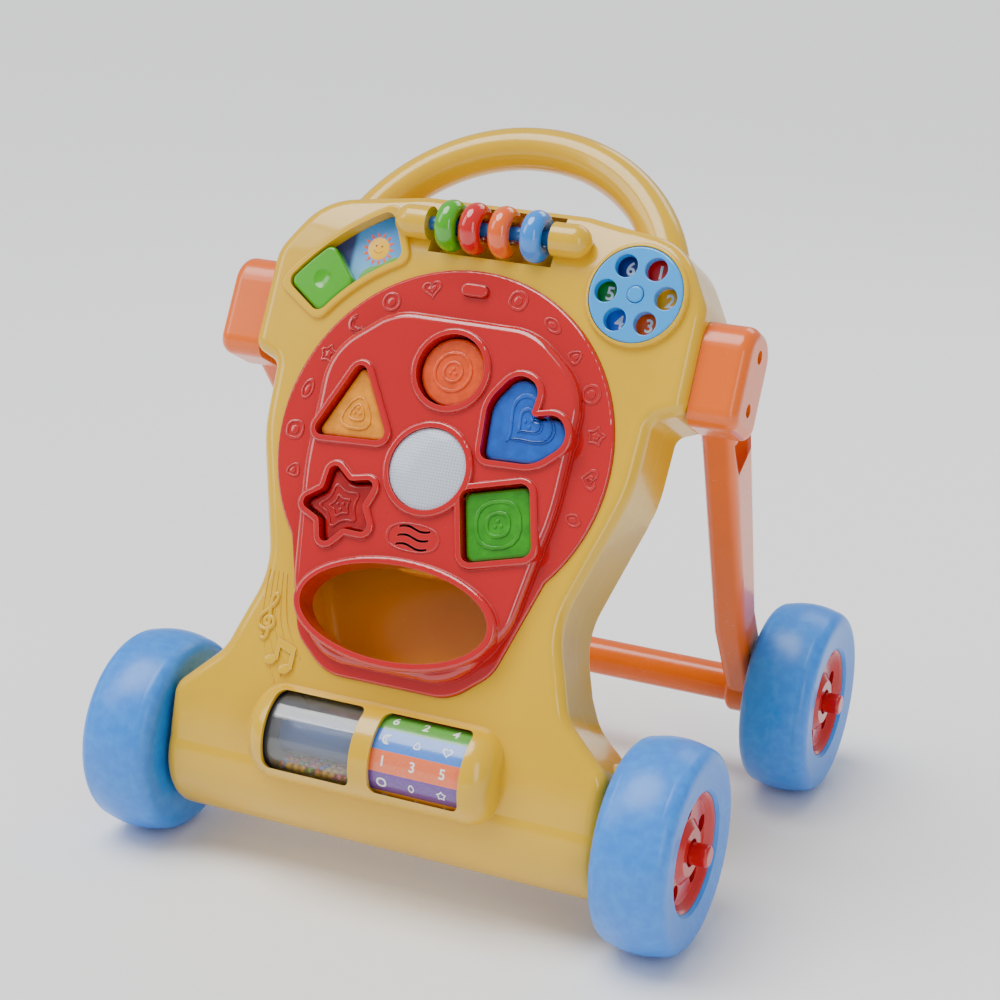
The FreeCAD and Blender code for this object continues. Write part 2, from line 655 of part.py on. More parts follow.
# --- light button, sound box, board, lamps and speaker ---------------------------------------------------
skirt_w = PLATEAU_W - PANEL_WALL - GAP
dome_rise = 4.0
dome_r = (LENS_R ** 2 + dome_rise ** 2) / (2 * dome_rise)
dome_top = LIP_W + 2.5
dome = Part.makeSphere(dome_r, at(0, LENS_V, dome_top - dome_r)).common(
    drum(0, LENS_V, LENS_R, dome_top - dome_rise - 0.01, dome_top + 1.0))
button = drum(0, LENS_V, LENS_R, skirt_w - 3.0, dome_top - dome_rise).fuse(dome)
button = button.fuse(drum(0, LENS_V, LENS_R + 1.5, skirt_w - 3.0, skirt_w - 1.0))
button = button.cut(drum(0, LENS_V, LENS_R - 2.0, skirt_w - 4.0, dome_top - dome_rise - 1.0))
keep("light_button", button)

box_floor = -26.0
box_wire_half = [(19.5, 8.0, 4.0), (19.5, -86.0, 8.0)]
sound_tub = plate(rounded(mirrored(box_wire_half)), box_floor, -WALL - 1.0)
sound_round = drum(0, LENS_V, LENS_R + 3.2, box_floor, skirt_w - 3.0 - LENS_TRAVEL - GAP)
sound_tub_hollow = plate(offset(rounded(mirrored(box_wire_half)), -1.8), box_floor + 1.8, 20.0)
sound_round_hollow = drum(0, LENS_V, LENS_R + 2.0, box_floor + 1.8, 20.0)
sound_box = sound_tub.fuse(sound_round).cut([sound_tub_hollow, sound_round_hollow])
keep("sound_box", sound_box)
board_w = -12.0
board = plate(rounded([(at(17.0, 4.0), 1.5), (at(17.0, -42.0), 1.5), (at(-17.0, -42.0), 1.5),
                       (at(-17.0, 4.0), 1.5)]), board_w, board_w + 1.6)
posts = [drum(u, v, 2.0, box_floor + 1.8, board_w) for u in (-13.0, 13.0) for v in (0.0, -38.0)]
chip = box(-5.0, 5.0, -38.0, -28.0, board_w + 1.6, board_w + 3.2)
keep("circuit_board", board.fuse(posts + [chip]))
lamps = []
for u, v in ((-9.0, LENS_V + 8.0), (9.0, LENS_V + 8.0), (0.0, LENS_V - 5.0)):
    lamp = drum(u, v, 2.5, board_w + 1.6, board_w + 6.0)
    lamps.append(lamp.fuse(Part.makeSphere(2.5, at(u, v, board_w + 6.0))))
keep("board_lamps", *lamps)
speaker_r = 14.0
speaker_w = -7.0
cone = turned([at(0, SPEAKER_V, speaker_w - 6.0), at(5.0, SPEAKER_V, speaker_w - 6.0),
               at(speaker_r - 1.2, SPEAKER_V, speaker_w), at(speaker_r, SPEAKER_V, speaker_w),
               at(speaker_r, SPEAKER_V, speaker_w - 2.0), at(7.5, SPEAKER_V, speaker_w - 9.0),
               at(7.0, SPEAKER_V, speaker_w - 14.0), at(0, SPEAKER_V, speaker_w - 14.0)], at(0, SPEAKER_V), OUT)
keep("speaker", cone)

# --- dial over its number plate --------------------------------------------------------------------------
plate_w = -9.5
number_plate = drum(DIAL_U, DIAL_V, DIAL_R - 0.4, -11.0, plate_w).cut(drum(DIAL_U, DIAL_V, DIAL_SCREW_R + SEAT, -20, 9))
keep("number_plate", number_plate)
dial = round_edges(drum(DIAL_U, DIAL_V, DIAL_R, -2.0, 4.5), 1.6, all_at_w(4.5))
dial = dial.fuse(drum(DIAL_U, DIAL_V, 6.5, plate_w + GAP, 0.0))
finger_spots = []
for k in range(6):
    turn = math.radians(90 + 30 + 60 * k)
    finger_spots.append((DIAL_U + FINGER_PITCH_R * math.cos(turn), DIAL_V + FINGER_PITCH_R * math.sin(turn)))
dial = dial.cut([drum(u, v, FINGER_R, -20.0, 20.0) for u, v in finger_spots])
dial = dial.cut([drum(DIAL_U, DIAL_V, DIAL_SCREW_R + FIT, -20.0, 20.0), drum(DIAL_U, DIAL_V, 5.5 + GAP, 3.0, 20.0)])
dial = round_edges(dial, 0.8, lambda e: all_at_w(4.5)(e) and e.BoundBox.XLength < 2.1 * FINGER_R)
keep("dial", dial)
screw = drum(DIAL_U, DIAL_V, DIAL_SCREW_R, -18.0, 3.0 + GAP).fuse(
    round_edges(drum(DIAL_U, DIAL_V, 5.5, 3.0 + GAP, 6.0), 1.5, all_at_w(6.0)))
keep("dial_screw", screw)

# --- picture card and its slider -------------------------------------------------------------------------
card = sector_plate(WINDOW_R0 + SEAT, WINDOW_R1 - SEAT, WINDOW_A0 + 0.2, WINDOW_A1 - 0.2, WINDOW_FLOOR,
                    WINDOW_FLOOR + CARD_THICK, 6.5)
keep("picture_card", card)
slider_low = WINDOW_FLOOR + CARD_THICK + GAP
slider_end = WINDOW_A1 - 0.35
slider = sector_plate(WINDOW_R0 + 0.5, WINDOW_R1 - 0.5, slider_end - SLIDER_SPAN, slider_end, slider_low, 1.5, 6.0)
slider = round_edges(slider, 2.5, all_at_w(1.5))
grip_a = math.radians(slider_end - SLIDER_SPAN / 2)
grip_r = (WINDOW_R0 + WINDOW_R1) / 2
dimple = Part.makeSphere(16.0, at(-grip_r * math.sin(grip_a), grip_r * math.cos(grip_a), 1.5 + 14.4))
keep("picture_slider", slider.cut(dimple))

# --- ring rod ----------------------------------------------------------------------------------------------
rod = roll(ROD_U - ROD_HALF - 10.5, ROD_U + ROD_HALF + 10.5, ROD_V, ROD_W, ROD_R)
keep("ring_rod", rod)
ring_hole = ROD_R + GAP
half = RING_THICK / 2
place = -ROD_HALF - half
for name, gap in zip(RING_NAMES, RING_GAPS):
    place += gap + RING_THICK
    centre = at(ROD_U + place, ROD_V, ROD_W)
    band = (RING_R + ring_hole) / 2
    thick = (RING_R - ring_hole) / 2
    ellipse = Part.Ellipse(centre + UP * band, half, thick) if half > thick else \
        Part.Ellipse(centre + UP * band, thick, half)
    ellipse.Axis = OUT
    ellipse.XAxis = RIGHT if half > thick else UP
    ring = Part.Face(Part.Wire(ellipse.toShape())).revolve(centre, RIGHT, 360)
    keep("ring_" + name, ring)

# --- rollers -------------------------------------------------------------------------------------------------
roller_axle = roll(-DRUM_LEN - 9.0, DRUM_LEN + 9.0, ROLLER_V, ROLLER_W, ROLLER_AXLE_R)
keep("roller_axle", roller_axle)
drum_gap = 1.0


def hollow_roll(u0, u1, r_out, r_in):
    return roll(u0, u1, ROLLER_V, ROLLER_W, r_out).cut(roll(u0 - 1, u1 + 1, ROLLER_V, ROLLER_W, r_in))


left0 = -DRUM_LEN - CHEEK_IN + drum_gap
left1 = -drum_gap
cap_len = 4.0
keep("bead_drum", hollow_roll(left0 + cap_len, left1 - cap_len, DRUM_R, DRUM_R - DRUM_WALL))
keep("bead_drum_core", hollow_roll(left0 + cap_len, left1 - cap_len, CORE_R, ROLLER_AXLE_R + 1.5))
caps = [hollow_roll(left0, left0 + cap_len, DRUM_R, ROLLER_AXLE_R + FIT),
        hollow_roll(left1 - cap_len, left1, DRUM_R, ROLLER_AXLE_R + FIT)]
keep("bead_drum_caps", *caps)
right0 = drum_gap
right1 = DRUM_LEN + CHEEK_IN - drum_gap
striped = roll(right0, right1, ROLLER_V, ROLLER_W, DRUM_R)
striped = striped.makeFillet(1.2, [e for e in striped.Edges if e.BoundBox.XLength < 0.1])
striped = striped.cut([hollow_roll(right0 + 3.0, right1 - 3.0, DRUM_R - 2.2, ROLLER_AXLE_R + 2.0),
                       roll(right0 - 1, right1 + 1, ROLLER_V, ROLLER_W, ROLLER_AXLE_R + FIT)])
keep("striped_drum", striped)

# beads lie in rows at the bottom of the clear drum
bead_pitch = 2 * BEAD_R + 0.25
room = DRUM_R - DRUM_WALL - BEAD_R - 0.3
axis_point = world_point(0.0, ROLLER_V, ROLLER_W)
beads = []
for row in range(2):
    depth = -room + 0.4 + row * bead_pitch
    reach = math.sqrt(max(room ** 2 - depth ** 2, 0.0))
    across = int(2 * reach / bead_pitch)
    for i in range(across + 1):
        y = axis_point.y + (i - across / 2) * bead_pitch
        for j in range(int((left1 - left0 - 2 * cap_len - 1.0) / bead_pitch)):
            x = left0 + cap_len + BEAD_R + 0.5 + j * bead_pitch
            beads.append(Part.makeSphere(BEAD_R, FreeCAD.Vector(x, y, axis_point.z + depth)))
keep("rattle_beads", *beads, panel=False)

# --- axles, bushes, push caps ----------------------------------------------------------------------------------
axle_end = WHEEL_OUT + 6.0


def x_roll(x0, x1, y, z, radius):
    return Part.makeCylinder(radius, x1 - x0, FreeCAD.Vector(x0, y, z), RIGHT)


front = world_point(0.0, TUBE_V, TUBE_W)
spots = {"front": (front.y, WHEEL_R), "rear": (REAR_Y, WHEEL_R)}
bushes = []
caps = []
for name, (y, z) in spots.items():
    keep(name + "_axle", x_roll(-axle_end, axle_end, y, z, AXLE_R), panel=False)
    for side in (-1, 1):
        inner_end = BASE_HALF - WALL - 4.0
        x0, x1 = sorted((side * inner_end, side * (BASE_HALF + 1.0)))
        f0, f1 = sorted((side * BASE_HALF, side * (BASE_HALF + 1.6)))
        bush = x_roll(x0, x1, y, z, BUSH_R).fuse(x_roll(f0, f1, y, z, BUSH_FLANGE_R))
        bushes.append(bush.cut(x_roll(-400, 400, y, z, AXLE_R)))
        c0, c1 = sorted((side * (WHEEL_OUT - 7.0), side * (axle_end + 1.5)))
        cap = x_roll(c0, c1, y, z, 7.5)
        cap = cap.makeFillet(2.2, [e for e in cap.Edges if abs(e.BoundBox.XMin - side * (axle_end + 1.5)) < 0.1
                                   and e.BoundBox.XLength < 0.1])
        caps.append(cap.cut(x_roll(-axle_end, axle_end, y, z, AXLE_R)))
keep("axle_bushes", *bushes, panel=False)
keep("axle_caps", *caps, panel=False)

# --- wheels --------------------------------------------------------------------------------------------------------
TREAD_CROWN = 2.5
TYRE_WALL = 4.0
HUB_SET = 9.0


def wheel(side, y, z):
    """Hollow tyre and dished hub. side is -1 or 1; the hub faces outward."""
    def spot(x, r):
        return FreeCAD.Vector(side * x, y, z + r)
    x0 = WHEEL_IN
    x1 = WHEEL_OUT
    mid = (x0 + x1) / 2
    seat = HUB_R + SEAT
    tread = Part.Arc(spot(x0 + 9.0, WHEEL_R - TREAD_CROWN), spot(mid, WHEEL_R),
                     spot(x1 - 9.0, WHEEL_R - TREAD_CROWN)).toShape()
    out_bend = Part.Arc(spot(x1 - 9.0, WHEEL_R - TREAD_CROWN), spot(x1 - 2.2, WHEEL_R - TREAD_CROWN - 3.6),
                        spot(x1, WHEEL_R - TREAD_CROWN - 11.0)).toShape()
    in_bend = Part.Arc(spot(x0, WHEEL_R - TREAD_CROWN - 11.0), spot(x0 + 2.2, WHEEL_R - TREAD_CROWN - 3.6),
                       spot(x0 + 9.0, WHEEL_R - TREAD_CROWN)).toShape()
    loop = [
        tread, out_bend,
        Part.LineSegment(spot(x1, WHEEL_R - TREAD_CROWN - 11.0), spot(x1 - 1.5, seat + 2.0)).toShape(),
        Part.LineSegment(spot(x1 - 1.5, seat + 2.0), spot(x1 - 3.5, seat)).toShape(),
        Part.LineSegment(spot(x1 - 3.5, seat), spot(x0 + 3.0, seat)).toShape(),
        Part.LineSegment(spot(x0 + 3.0, seat), spot(x0 + 3.0, 24.0)).toShape(),
        Part.LineSegment(spot(x0 + 3.0, 24.0), spot(x0, 24.0)).toShape(),
        Part.LineSegment(spot(x0, 24.0), spot(x0, WHEEL_R - TREAD_CROWN - 11.0)).toShape(),
        in_bend,
    ]
    axis = FreeCAD.Vector(0, y, z)
    tyre = Part.Face(Part.Wire(loop)).revolve(axis, RIGHT, 360)
    hollow_points = [spot(x0 + TYRE_WALL, seat + TYRE_WALL), spot(x0 + TYRE_WALL, WHEEL_R - 16.0),
                     spot(x0 + 11.0, WHEEL_R - 7.5), spot(x1 - 11.0, WHEEL_R - 7.5),
                     spot(x1 - TYRE_WALL - 0.5, WHEEL_R - 16.0), spot(x1 - TYRE_WALL - 1.0, seat + TYRE_WALL)]
    tyre = tyre.cut(turned(hollow_points, axis, RIGHT))
    hub_points = [spot(x0 + 3.2, AXLE_R + FIT), spot(x0 + 3.2, 22.0), spot(x0 + 3.2, HUB_R),
                  spot(x1 - 4.0, HUB_R), spot(x1 - 5.5, HUB_R - 2.0), spot(x1 - HUB_SET, HUB_R - 5.0),
                  spot(x1 - HUB_SET, 22.0), spot(x1 - HUB_SET + 4.0, 16.0), spot(x1 - HUB_SET + 4.0, 9.5),
                  spot(x1 - HUB_SET + 0.5, 8.8), spot(x1 - HUB_SET + 0.5, AXLE_R + FIT)]
    hub = turned(hub_points, axis, RIGHT)
    inner_rim = turned([spot(x0 + 7.0, 12.0), spot(x0 + 7.0, HUB_R - 3.0), spot(x1 - HUB_SET - 3.0, HUB_R - 3.0),
                        spot(x1 - HUB_SET - 3.0, 12.0)], axis, RIGHT)
    pockets = []
    for k in range(5):
        turn = math.radians(90 + 72 * k)
        centre = FreeCAD.Vector(side * (x1 - HUB_SET - 3.5), y + 28.5 * math.cos(turn), z + 28.5 * math.sin(turn))
        pockets.append(Part.makeCylinder(6.0, 20.0, centre, RIGHT * side))
    return tyre, hub.cut(inner_rim).cut(pockets)


for end, (y, z) in spots.items():
    for side_name, side in (("left", -1), ("right", 1)):
        tyre, hub = wheel(side, y, z)
        keep(f"{end}_{side_name}_tyre", tyre, panel=False)
        keep(f"{end}_{side_name}_hub", hub, panel=False)

# --- rear legs and cross bar -----------------------------------------------------------------------------------------
joint = world_point(0.0, LEG_JOINT_V, LEG_JOINT_W)
foot_point = FreeCAD.Vector(0, REAR_Y, WHEEL_R)
along = (foot_point - joint).normalize()
across = RIGHT.cross(along)


def leg_section(x0, x1, distance, depth, corner):
    centre = joint + along * distance
    centre.x = 0
    corners = []
    for x, d in ((x0, depth / 2), (x1, depth / 2), (x1, -depth / 2), (x0, -depth / 2)):
        corners.append((centre + RIGHT * x + across * d, corner))
    return rounded(corners)


leg_length = (foot_point - joint).Length
pad_in = SHOULDER_HALF + SEAT
pad_out = pad_in + BRACKET_OUT
foot_out = BASE_HALF
foot_in = foot_out - LEG_THICK
leg_screws = []
for side_name, side in (("left", -1), ("right", 1)):
    top_out = side * (pad_out - 8.0)
    top_in = side * pad_in
    ankle_out = side * foot_out
    ankle_in = side * foot_in
    knee_at = leg_length - WHEEL_R - 8.0
    ankle = sorted((ankle_in, ankle_out))
    beam = Part.makeLoft([leg_section(*sorted((top_in, top_out)), 0.0, LEG_DEPTH, 7.0),
                          leg_section(*ankle, knee_at, LEG_DEPTH_FOOT + 3.0, 7.0),
                          leg_section(*ankle, leg_length, LEG_DEPTH_FOOT, 7.0)], True, True)
    trough_top = sorted((top_in - side * 20.0, top_out - side * LEG_WALL))
    trough_foot = sorted((ankle_in - side * 20.0, ankle_out - side * LEG_WALL))
    trough = Part.makeLoft([leg_section(*trough_top, 44.0, LEG_DEPTH - 2 * LEG_WALL, 4.0),
                            leg_section(*trough_foot, knee_at, LEG_DEPTH_FOOT - 2 * LEG_WALL, 4.0),
                            leg_section(*trough_foot, leg_length - 26.0, LEG_DEPTH_FOOT - 2 * LEG_WALL, 4.0)],
                           True, True)
    foot_ring = x_roll(*sorted((ankle_in, ankle_out)), REAR_Y, WHEEL_R, 20.0)
    foot_ring = foot_ring.makeFillet(4.0, [e for e in foot_ring.Edges if e.BoundBox.XLength < 0.1])
    pad_corners = [(at(0, LEG_JOINT_V + BRACKET_HALF, LEG_JOINT_W - 26.0), 20.0),
                   (at(0, LEG_JOINT_V + BRACKET_HALF, LEG_JOINT_W + 24.0), 20.0),
                   (at(0, LEG_JOINT_V - BRACKET_HALF, LEG_JOINT_W + 24.0), 12.0),
                   (at(0, LEG_JOINT_V - BRACKET_HALF, LEG_JOINT_W - 26.0), 12.0)]
    pad = Part.Face(rounded(pad_corners))
    pad.translate(RIGHT * (top_in if side > 0 else top_in - BRACKET_OUT))
    pad = pad.extrude(RIGHT * BRACKET_OUT)
    outer_x = side * pad_out
    pad = round_edges(pad, 8.0, lambda e: abs(e.BoundBox.XMin - outer_x) < 0.1 and abs(e.BoundBox.XMax - outer_x) < 0.1)
    pad = stand(pad)
    leg = beam.fuse([foot_ring, pad]).cut([trough, x_roll(-400, 400, REAR_Y, WHEEL_R, BUSH_R)])
    hull_gap = stand(plate(offset(body_outline, SEAT * 0.8), -150.0, 60.0))
    leg = leg.cut(hull_gap.common(x_roll(-400, 400, joint.y, joint.z, 130.0)))
    for screw_v in leg_screw_spots:
        spot = world_point(0, screw_v, LEG_JOINT_W)
        s0, s1 = sorted((side * (SHOULDER_HALF - 14.0), side * (pad_out - 6.0)))
        shank = x_roll(s0, s1, spot.y, spot.z, 2.0)
        h0, h1 = sorted((side * (pad_out - 6.0), side * (pad_out - 3.5)))
        head = x_roll(h0, h1, spot.y, spot.z, 4.2)
        w0, w1 = sorted((side * (pad_out - 6.0), side * (pad_out + 5.0)))
        leg = leg.cut([x_roll(s0, s1, spot.y, spot.z, 2.3), x_roll(w0, w1, spot.y, spot.z, 4.6)])
        leg_screws.append(shank.fuse(head))
    keep(side_name + "_leg", leg, panel=False)
keep("leg_screws", *leg_screws, panel=False)
bar = x_roll(-foot_in + SEAT, foot_in - SEAT, REAR_Y, WHEEL_R, BAR_R)
keep("rear_crossbar", bar.cut(x_roll(-400, 400, REAR_Y, WHEEL_R, AXLE_R + 1.0)), panel=False)

# --- battery bay, cells, contacts, door, switch --------------------------------------------------------------------------
bay_floor = BACK + 2 * CELL_R + 5.5
bay_out = box(-bay_half_u - BATTERY_WALL, bay_half_u + BATTERY_WALL, BATTERY_V - bay_half_v - BATTERY_WALL,
              BATTERY_V + bay_half_v + BATTERY_WALL, BACK + WALL + SEAT, bay_floor + BATTERY_WALL)
bay_flange = box(-bay_half_u - DOOR_RIM - 3.0, bay_half_u + DOOR_RIM + 3.0, BATTERY_V - bay_half_v - DOOR_RIM - 3.0,
                 BATTERY_V + bay_half_v + DOOR_RIM + 3.0, BACK + WALL + SEAT, BACK + WALL + SEAT + 1.6)
bay_in = box(-bay_half_u, bay_half_u, BATTERY_V - bay_half_v, BATTERY_V + bay_half_v, BACK - 5.0, bay_floor)
bay_flange = bay_flange.common(plate(offset(body_outline, -WALL - SEAT), -100.0, 0.0))
door_screw_u = bay_half_u + 2.6
battery_box = bay_out.fuse(bay_flange).cut([bay_in, drum(door_screw_u, BATTERY_V, 1.3, BACK, BACK + 12.0)])
keep("battery_box", battery_box)
cell_w = bay_floor - CELL_R - 0.4
cells = []
for k, flip in ((-1, 1), (1, -1)):
    v = BATTERY_V + k * (CELL_R + CELL_GAP / 2)
    can = roll(-CELL_LEN / 2 + 1.0, CELL_LEN / 2 - 1.0, v, cell_w, CELL_R)
    can = can.makeFillet(0.7, [e for e in can.Edges if e.BoundBox.XLength < 0.1])
    n0, n1 = sorted((flip * (CELL_LEN / 2 - 1.5), flip * CELL_LEN / 2))
    cells.append(can.fuse(roll(n0, n1, v, cell_w, 2.6)))
keep("battery_cells", *cells)
contacts = []
for k, flip in ((-1, 1), (1, -1)):
    v = BATTERY_V + k * (CELL_R + CELL_GAP / 2)
    for side in (-1, 1):
        c0, c1 = sorted((side * (bay_half_u - 0.6), side * bay_half_u))
        contacts.append(box(c0, c1, v - 5.0, v + 5.0, cell_w - 5.0, cell_w + 5.0))
keep("battery_contacts", *contacts)
door_half = [(bay_half_u + DOOR_RIM - GAP, BATTERY_V + bay_half_v + DOOR_RIM - GAP, 3.7),
             (bay_half_u + DOOR_RIM - GAP, BATTERY_V - bay_half_v - DOOR_RIM + GAP, 3.7)]
door = plate(rounded(mirrored(door_half)), BACK, BACK + DOOR_THICK)
ribs = [box(-20.0 + 8.0 * k, -17.5 + 8.0 * k, BATTERY_V - 8.0, BATTERY_V + 8.0, BACK - 0.8, BACK + 0.5) for k in range(6)]
door = door.fuse(ribs).cut(drum(door_screw_u, BATTERY_V, 1.6, BACK - 5.0, BACK + 9.0))
keep("battery_door", door)
door_screw = drum(door_screw_u, BATTERY_V, 1.25, BACK, BACK + 8.0).fuse(
    drum(door_screw_u, BATTERY_V, 2.4, BACK - 1.4, BACK))
keep("door_screw", door_screw.cut(box(door_screw_u - 2.0, door_screw_u + 2.0, BATTERY_V - 0.35, BATTERY_V + 0.35,
                                      BACK - 1.4, BACK - 0.7)))
switch_top = BACK - 1.8
knob = box(SWITCH_U - 4.0 + GAP, SWITCH_U + 4.0 - GAP, SWITCH_V - 3.5 + GAP, SWITCH_V + 3.5 - GAP, switch_top,
           BACK + WALL + 2.0)
shoe = box(SWITCH_U - 9.5, SWITCH_U + 9.5, SWITCH_V - 6.0, SWITCH_V + 6.0, BACK + WALL + GAP, BACK + WALL + 2.0)
keep("power_switch", knob.fuse(shoe))
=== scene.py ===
import json
import math

import bmesh
import bpy
from mathutils import Matrix, Vector


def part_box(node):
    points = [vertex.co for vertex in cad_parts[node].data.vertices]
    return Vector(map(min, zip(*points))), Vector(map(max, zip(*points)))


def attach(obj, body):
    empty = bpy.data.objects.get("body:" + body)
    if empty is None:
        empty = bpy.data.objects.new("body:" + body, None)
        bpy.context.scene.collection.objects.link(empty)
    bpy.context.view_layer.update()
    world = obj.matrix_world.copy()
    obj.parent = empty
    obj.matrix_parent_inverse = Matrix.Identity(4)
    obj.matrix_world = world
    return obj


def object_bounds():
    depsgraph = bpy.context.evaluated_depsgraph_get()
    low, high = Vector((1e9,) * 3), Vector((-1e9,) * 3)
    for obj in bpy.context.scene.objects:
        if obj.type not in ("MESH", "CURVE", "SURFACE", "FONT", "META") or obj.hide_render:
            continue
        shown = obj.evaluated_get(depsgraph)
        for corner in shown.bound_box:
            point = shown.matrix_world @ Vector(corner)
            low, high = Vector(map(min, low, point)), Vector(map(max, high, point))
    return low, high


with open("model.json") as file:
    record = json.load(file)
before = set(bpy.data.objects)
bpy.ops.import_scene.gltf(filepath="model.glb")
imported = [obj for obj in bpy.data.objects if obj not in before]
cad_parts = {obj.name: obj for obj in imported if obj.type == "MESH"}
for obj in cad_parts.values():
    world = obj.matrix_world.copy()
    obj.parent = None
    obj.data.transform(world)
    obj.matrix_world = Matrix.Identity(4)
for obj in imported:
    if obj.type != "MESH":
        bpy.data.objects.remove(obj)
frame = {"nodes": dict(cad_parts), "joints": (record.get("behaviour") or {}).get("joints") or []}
nodes = frame["nodes"]
joints = {joint["name"]: joint for joint in frame["joints"]}
cad_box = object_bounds()

# --- the panel's own directions -------------------------------------------------------------------
# The toy face leans back, and its slider turns about the middle of the red disc, square to the face.
# On the panel, u runs to the right, v up along the face and w out of it, all in millimetres.
MM = 0.001
disc = Vector(joints["picture_slide"]["pos_m"])
out = Vector(joints["picture_slide"]["axis"]).normalized()
right = Vector((1, 0, 0))
up = out.cross(right)
stand = Matrix((right, up, out)).transposed().to_4x4()

# --- yellow shells --------------------------------------------------------------------------------
# Two thin halves moulded in bright yellow ABS and screwed together from behind. The mould was
# polished, so the skin is glossy with a faint orange peel, and its edges are rubbed a little dull.
class Value:
    """A shader value. A sum of values adds the Math nodes that it needs."""

    def __init__(self, finish, socket):
        self.finish = finish
        self.socket = socket

    def math(self, operation, first, second=0.0):
        return self.finish.node("Math", {"operation": operation}, {0: first, 1: second})

    def __add__(self, other):
        return self.math("ADD", self, other)

    def __sub__(self, other):
        return self.math("SUBTRACT", self, other)

    def __rsub__(self, other):
        return self.math("SUBTRACT", other, self)

    def __mul__(self, other):
        return self.math("MULTIPLY", self, other)

    def __truediv__(self, other):
        return self.math("DIVIDE", self, other)

    __radd__ = __add__
    __rmul__ = __mul__


class Finish:
    """One material: its shader's constants, and the nodes that vary over the surface."""

    def __init__(self, name, **constants):
        self.material = bpy.data.materials.new(name)
        self.material.use_nodes = True
        self.tree = self.material.node_tree
        self.shader = self.tree.nodes["Principled BSDF"]
        for socket, value in constants.items():
            self.shader.inputs[socket.replace("_", " ")].default_value = value

    def node(self, kind, settings=None, sockets=None, give=0):
        made = self.tree.nodes.new("ShaderNode" + kind)
        for name, setting in (settings or {}).items():
            if name != "stops":
                setattr(made, name, setting)
                continue
            while len(made.color_ramp.elements) < len(setting):
                made.color_ramp.elements.new(1.0)
            for element, (place, shade) in zip(made.color_ramp.elements, setting):
                element.position = place
                element.color = shade
        for name, value in (sockets or {}).items():
            self.feed(made.inputs[name], value)
        return Value(self, made.outputs[give])

    def feed(self, socket, value):
        if isinstance(value, Value):
            self.tree.links.new(value.socket, socket)
        else:
            socket.default_value = value

    def wear(self, name, value):
        self.feed(self.shader.inputs[name], value)

    def blend(self, factor, first, second):
        return self.node("Mix", {"data_type": "RGBA"}, {0: factor, 6: first, 7: second}, give=2)

    def noise(self, size, detail=3.0, roughness=0.5):
        """Cloudy noise whose patches are about size millimetres across."""
        place = self.node("TexCoord", give=3)
        return self.node("TexNoise", None, {"Vector": place, "Scale": 1.0 / (size * MM), "Detail": detail,
                                            "Roughness": roughness})

    def step(self, value, low, high):
        """0 below low, 1 above high, smooth between."""
        return self.node("MapRange", {"interpolation_type": "SMOOTHSTEP"},
                         {"Value": value, "From Min": low, "From Max": high})

    def bump(self, height, depth, under=None):
        """Bump of a height pattern, depth in millimetres."""
        sockets = {"Strength": 1.0, "Distance": depth * MM, "Height": height}
        if under is not None:
            sockets["Normal"] = under
        return self.node("Bump", None, sockets)

    def edges(self, reach):
        """1 along sharp edges and 0 elsewhere, reach in millimetres."""
        softened = self.node("Bevel", {"samples": 4}, {"Radius": reach * MM})
        plain = self.node("NewGeometry", give=1)
        turn = self.node("VectorMath", {"operation": "DOT_PRODUCT"}, {0: softened, 1: plain}, give=1)
        return self.step(1.0 - turn, 0.01, 0.16)


def colour(code):
    """A hex code as linear light."""
    parts = [int(code[i:i + 2], 16) / 255 for i in (0, 2, 4)]
    return tuple(p / 12.92 if p <= 0.04045 else ((p + 0.055) / 1.055) ** 2.4 for p in parts) + (1.0,)


def tinted(shade, amount):
    """A colour moved towards white (amount above 0) or black (below 0)."""
    target = 1.0 if amount > 0 else 0.0
    return tuple(c + (target - c) * abs(amount) for c in shade[:3]) + (1.0,)


def moulded(name, shade, gloss=0.17, coat=0.35, peel=0.012, worn=True, **constants):
    """Moulded plastic: faint flow marks, orange peel, hazy patches, fine scuffs and rubbed edges."""
    finish = Finish(name, IOR=1.5, Coat_Weight=coat, Coat_Roughness=0.06, **constants)
    flow = finish.step(finish.noise(60, 2.0), 0.35, 0.7)
    haze = finish.noise(14, 4.0)
    scratches = finish.step(finish.noise(2.2, 9.0, 0.72), 0.60, 0.72)
    scuffs = scratches * finish.step(finish.noise(38, 2.0), 0.48, 0.62)
    paint = finish.blend(flow * 0.5, shade, tinted(shade, -0.10))
    paint = finish.blend(scuffs * 0.10, paint, tinted(shade, 0.5))
    rough = gloss + haze * 0.08 + scuffs * 0.12
    if worn:
        edge = finish.edges(0.9)
        paint = finish.blend(edge * 0.22, paint, tinted(shade, 0.35))
        rough = rough + edge * 0.12
    skin = finish.bump(finish.noise(1.6, 2.0), peel)
    skin = finish.bump(finish.noise(0.35, 2.0), peel * 0.25, skin)
    finish.wear("Base Color", paint)
    finish.wear("Roughness", rough)
    finish.wear("Normal", skin)
    return finish.material


def dress(material, *names):
    """Gives the named nodes this material."""
    for name in names:
        for slot in nodes[name].material_slots:
            slot.material = material


YELLOW = colour("DEAE00")
yellow = moulded("yellow_shell_plastic", YELLOW)
dress(yellow, "front_shell", "back_shell")


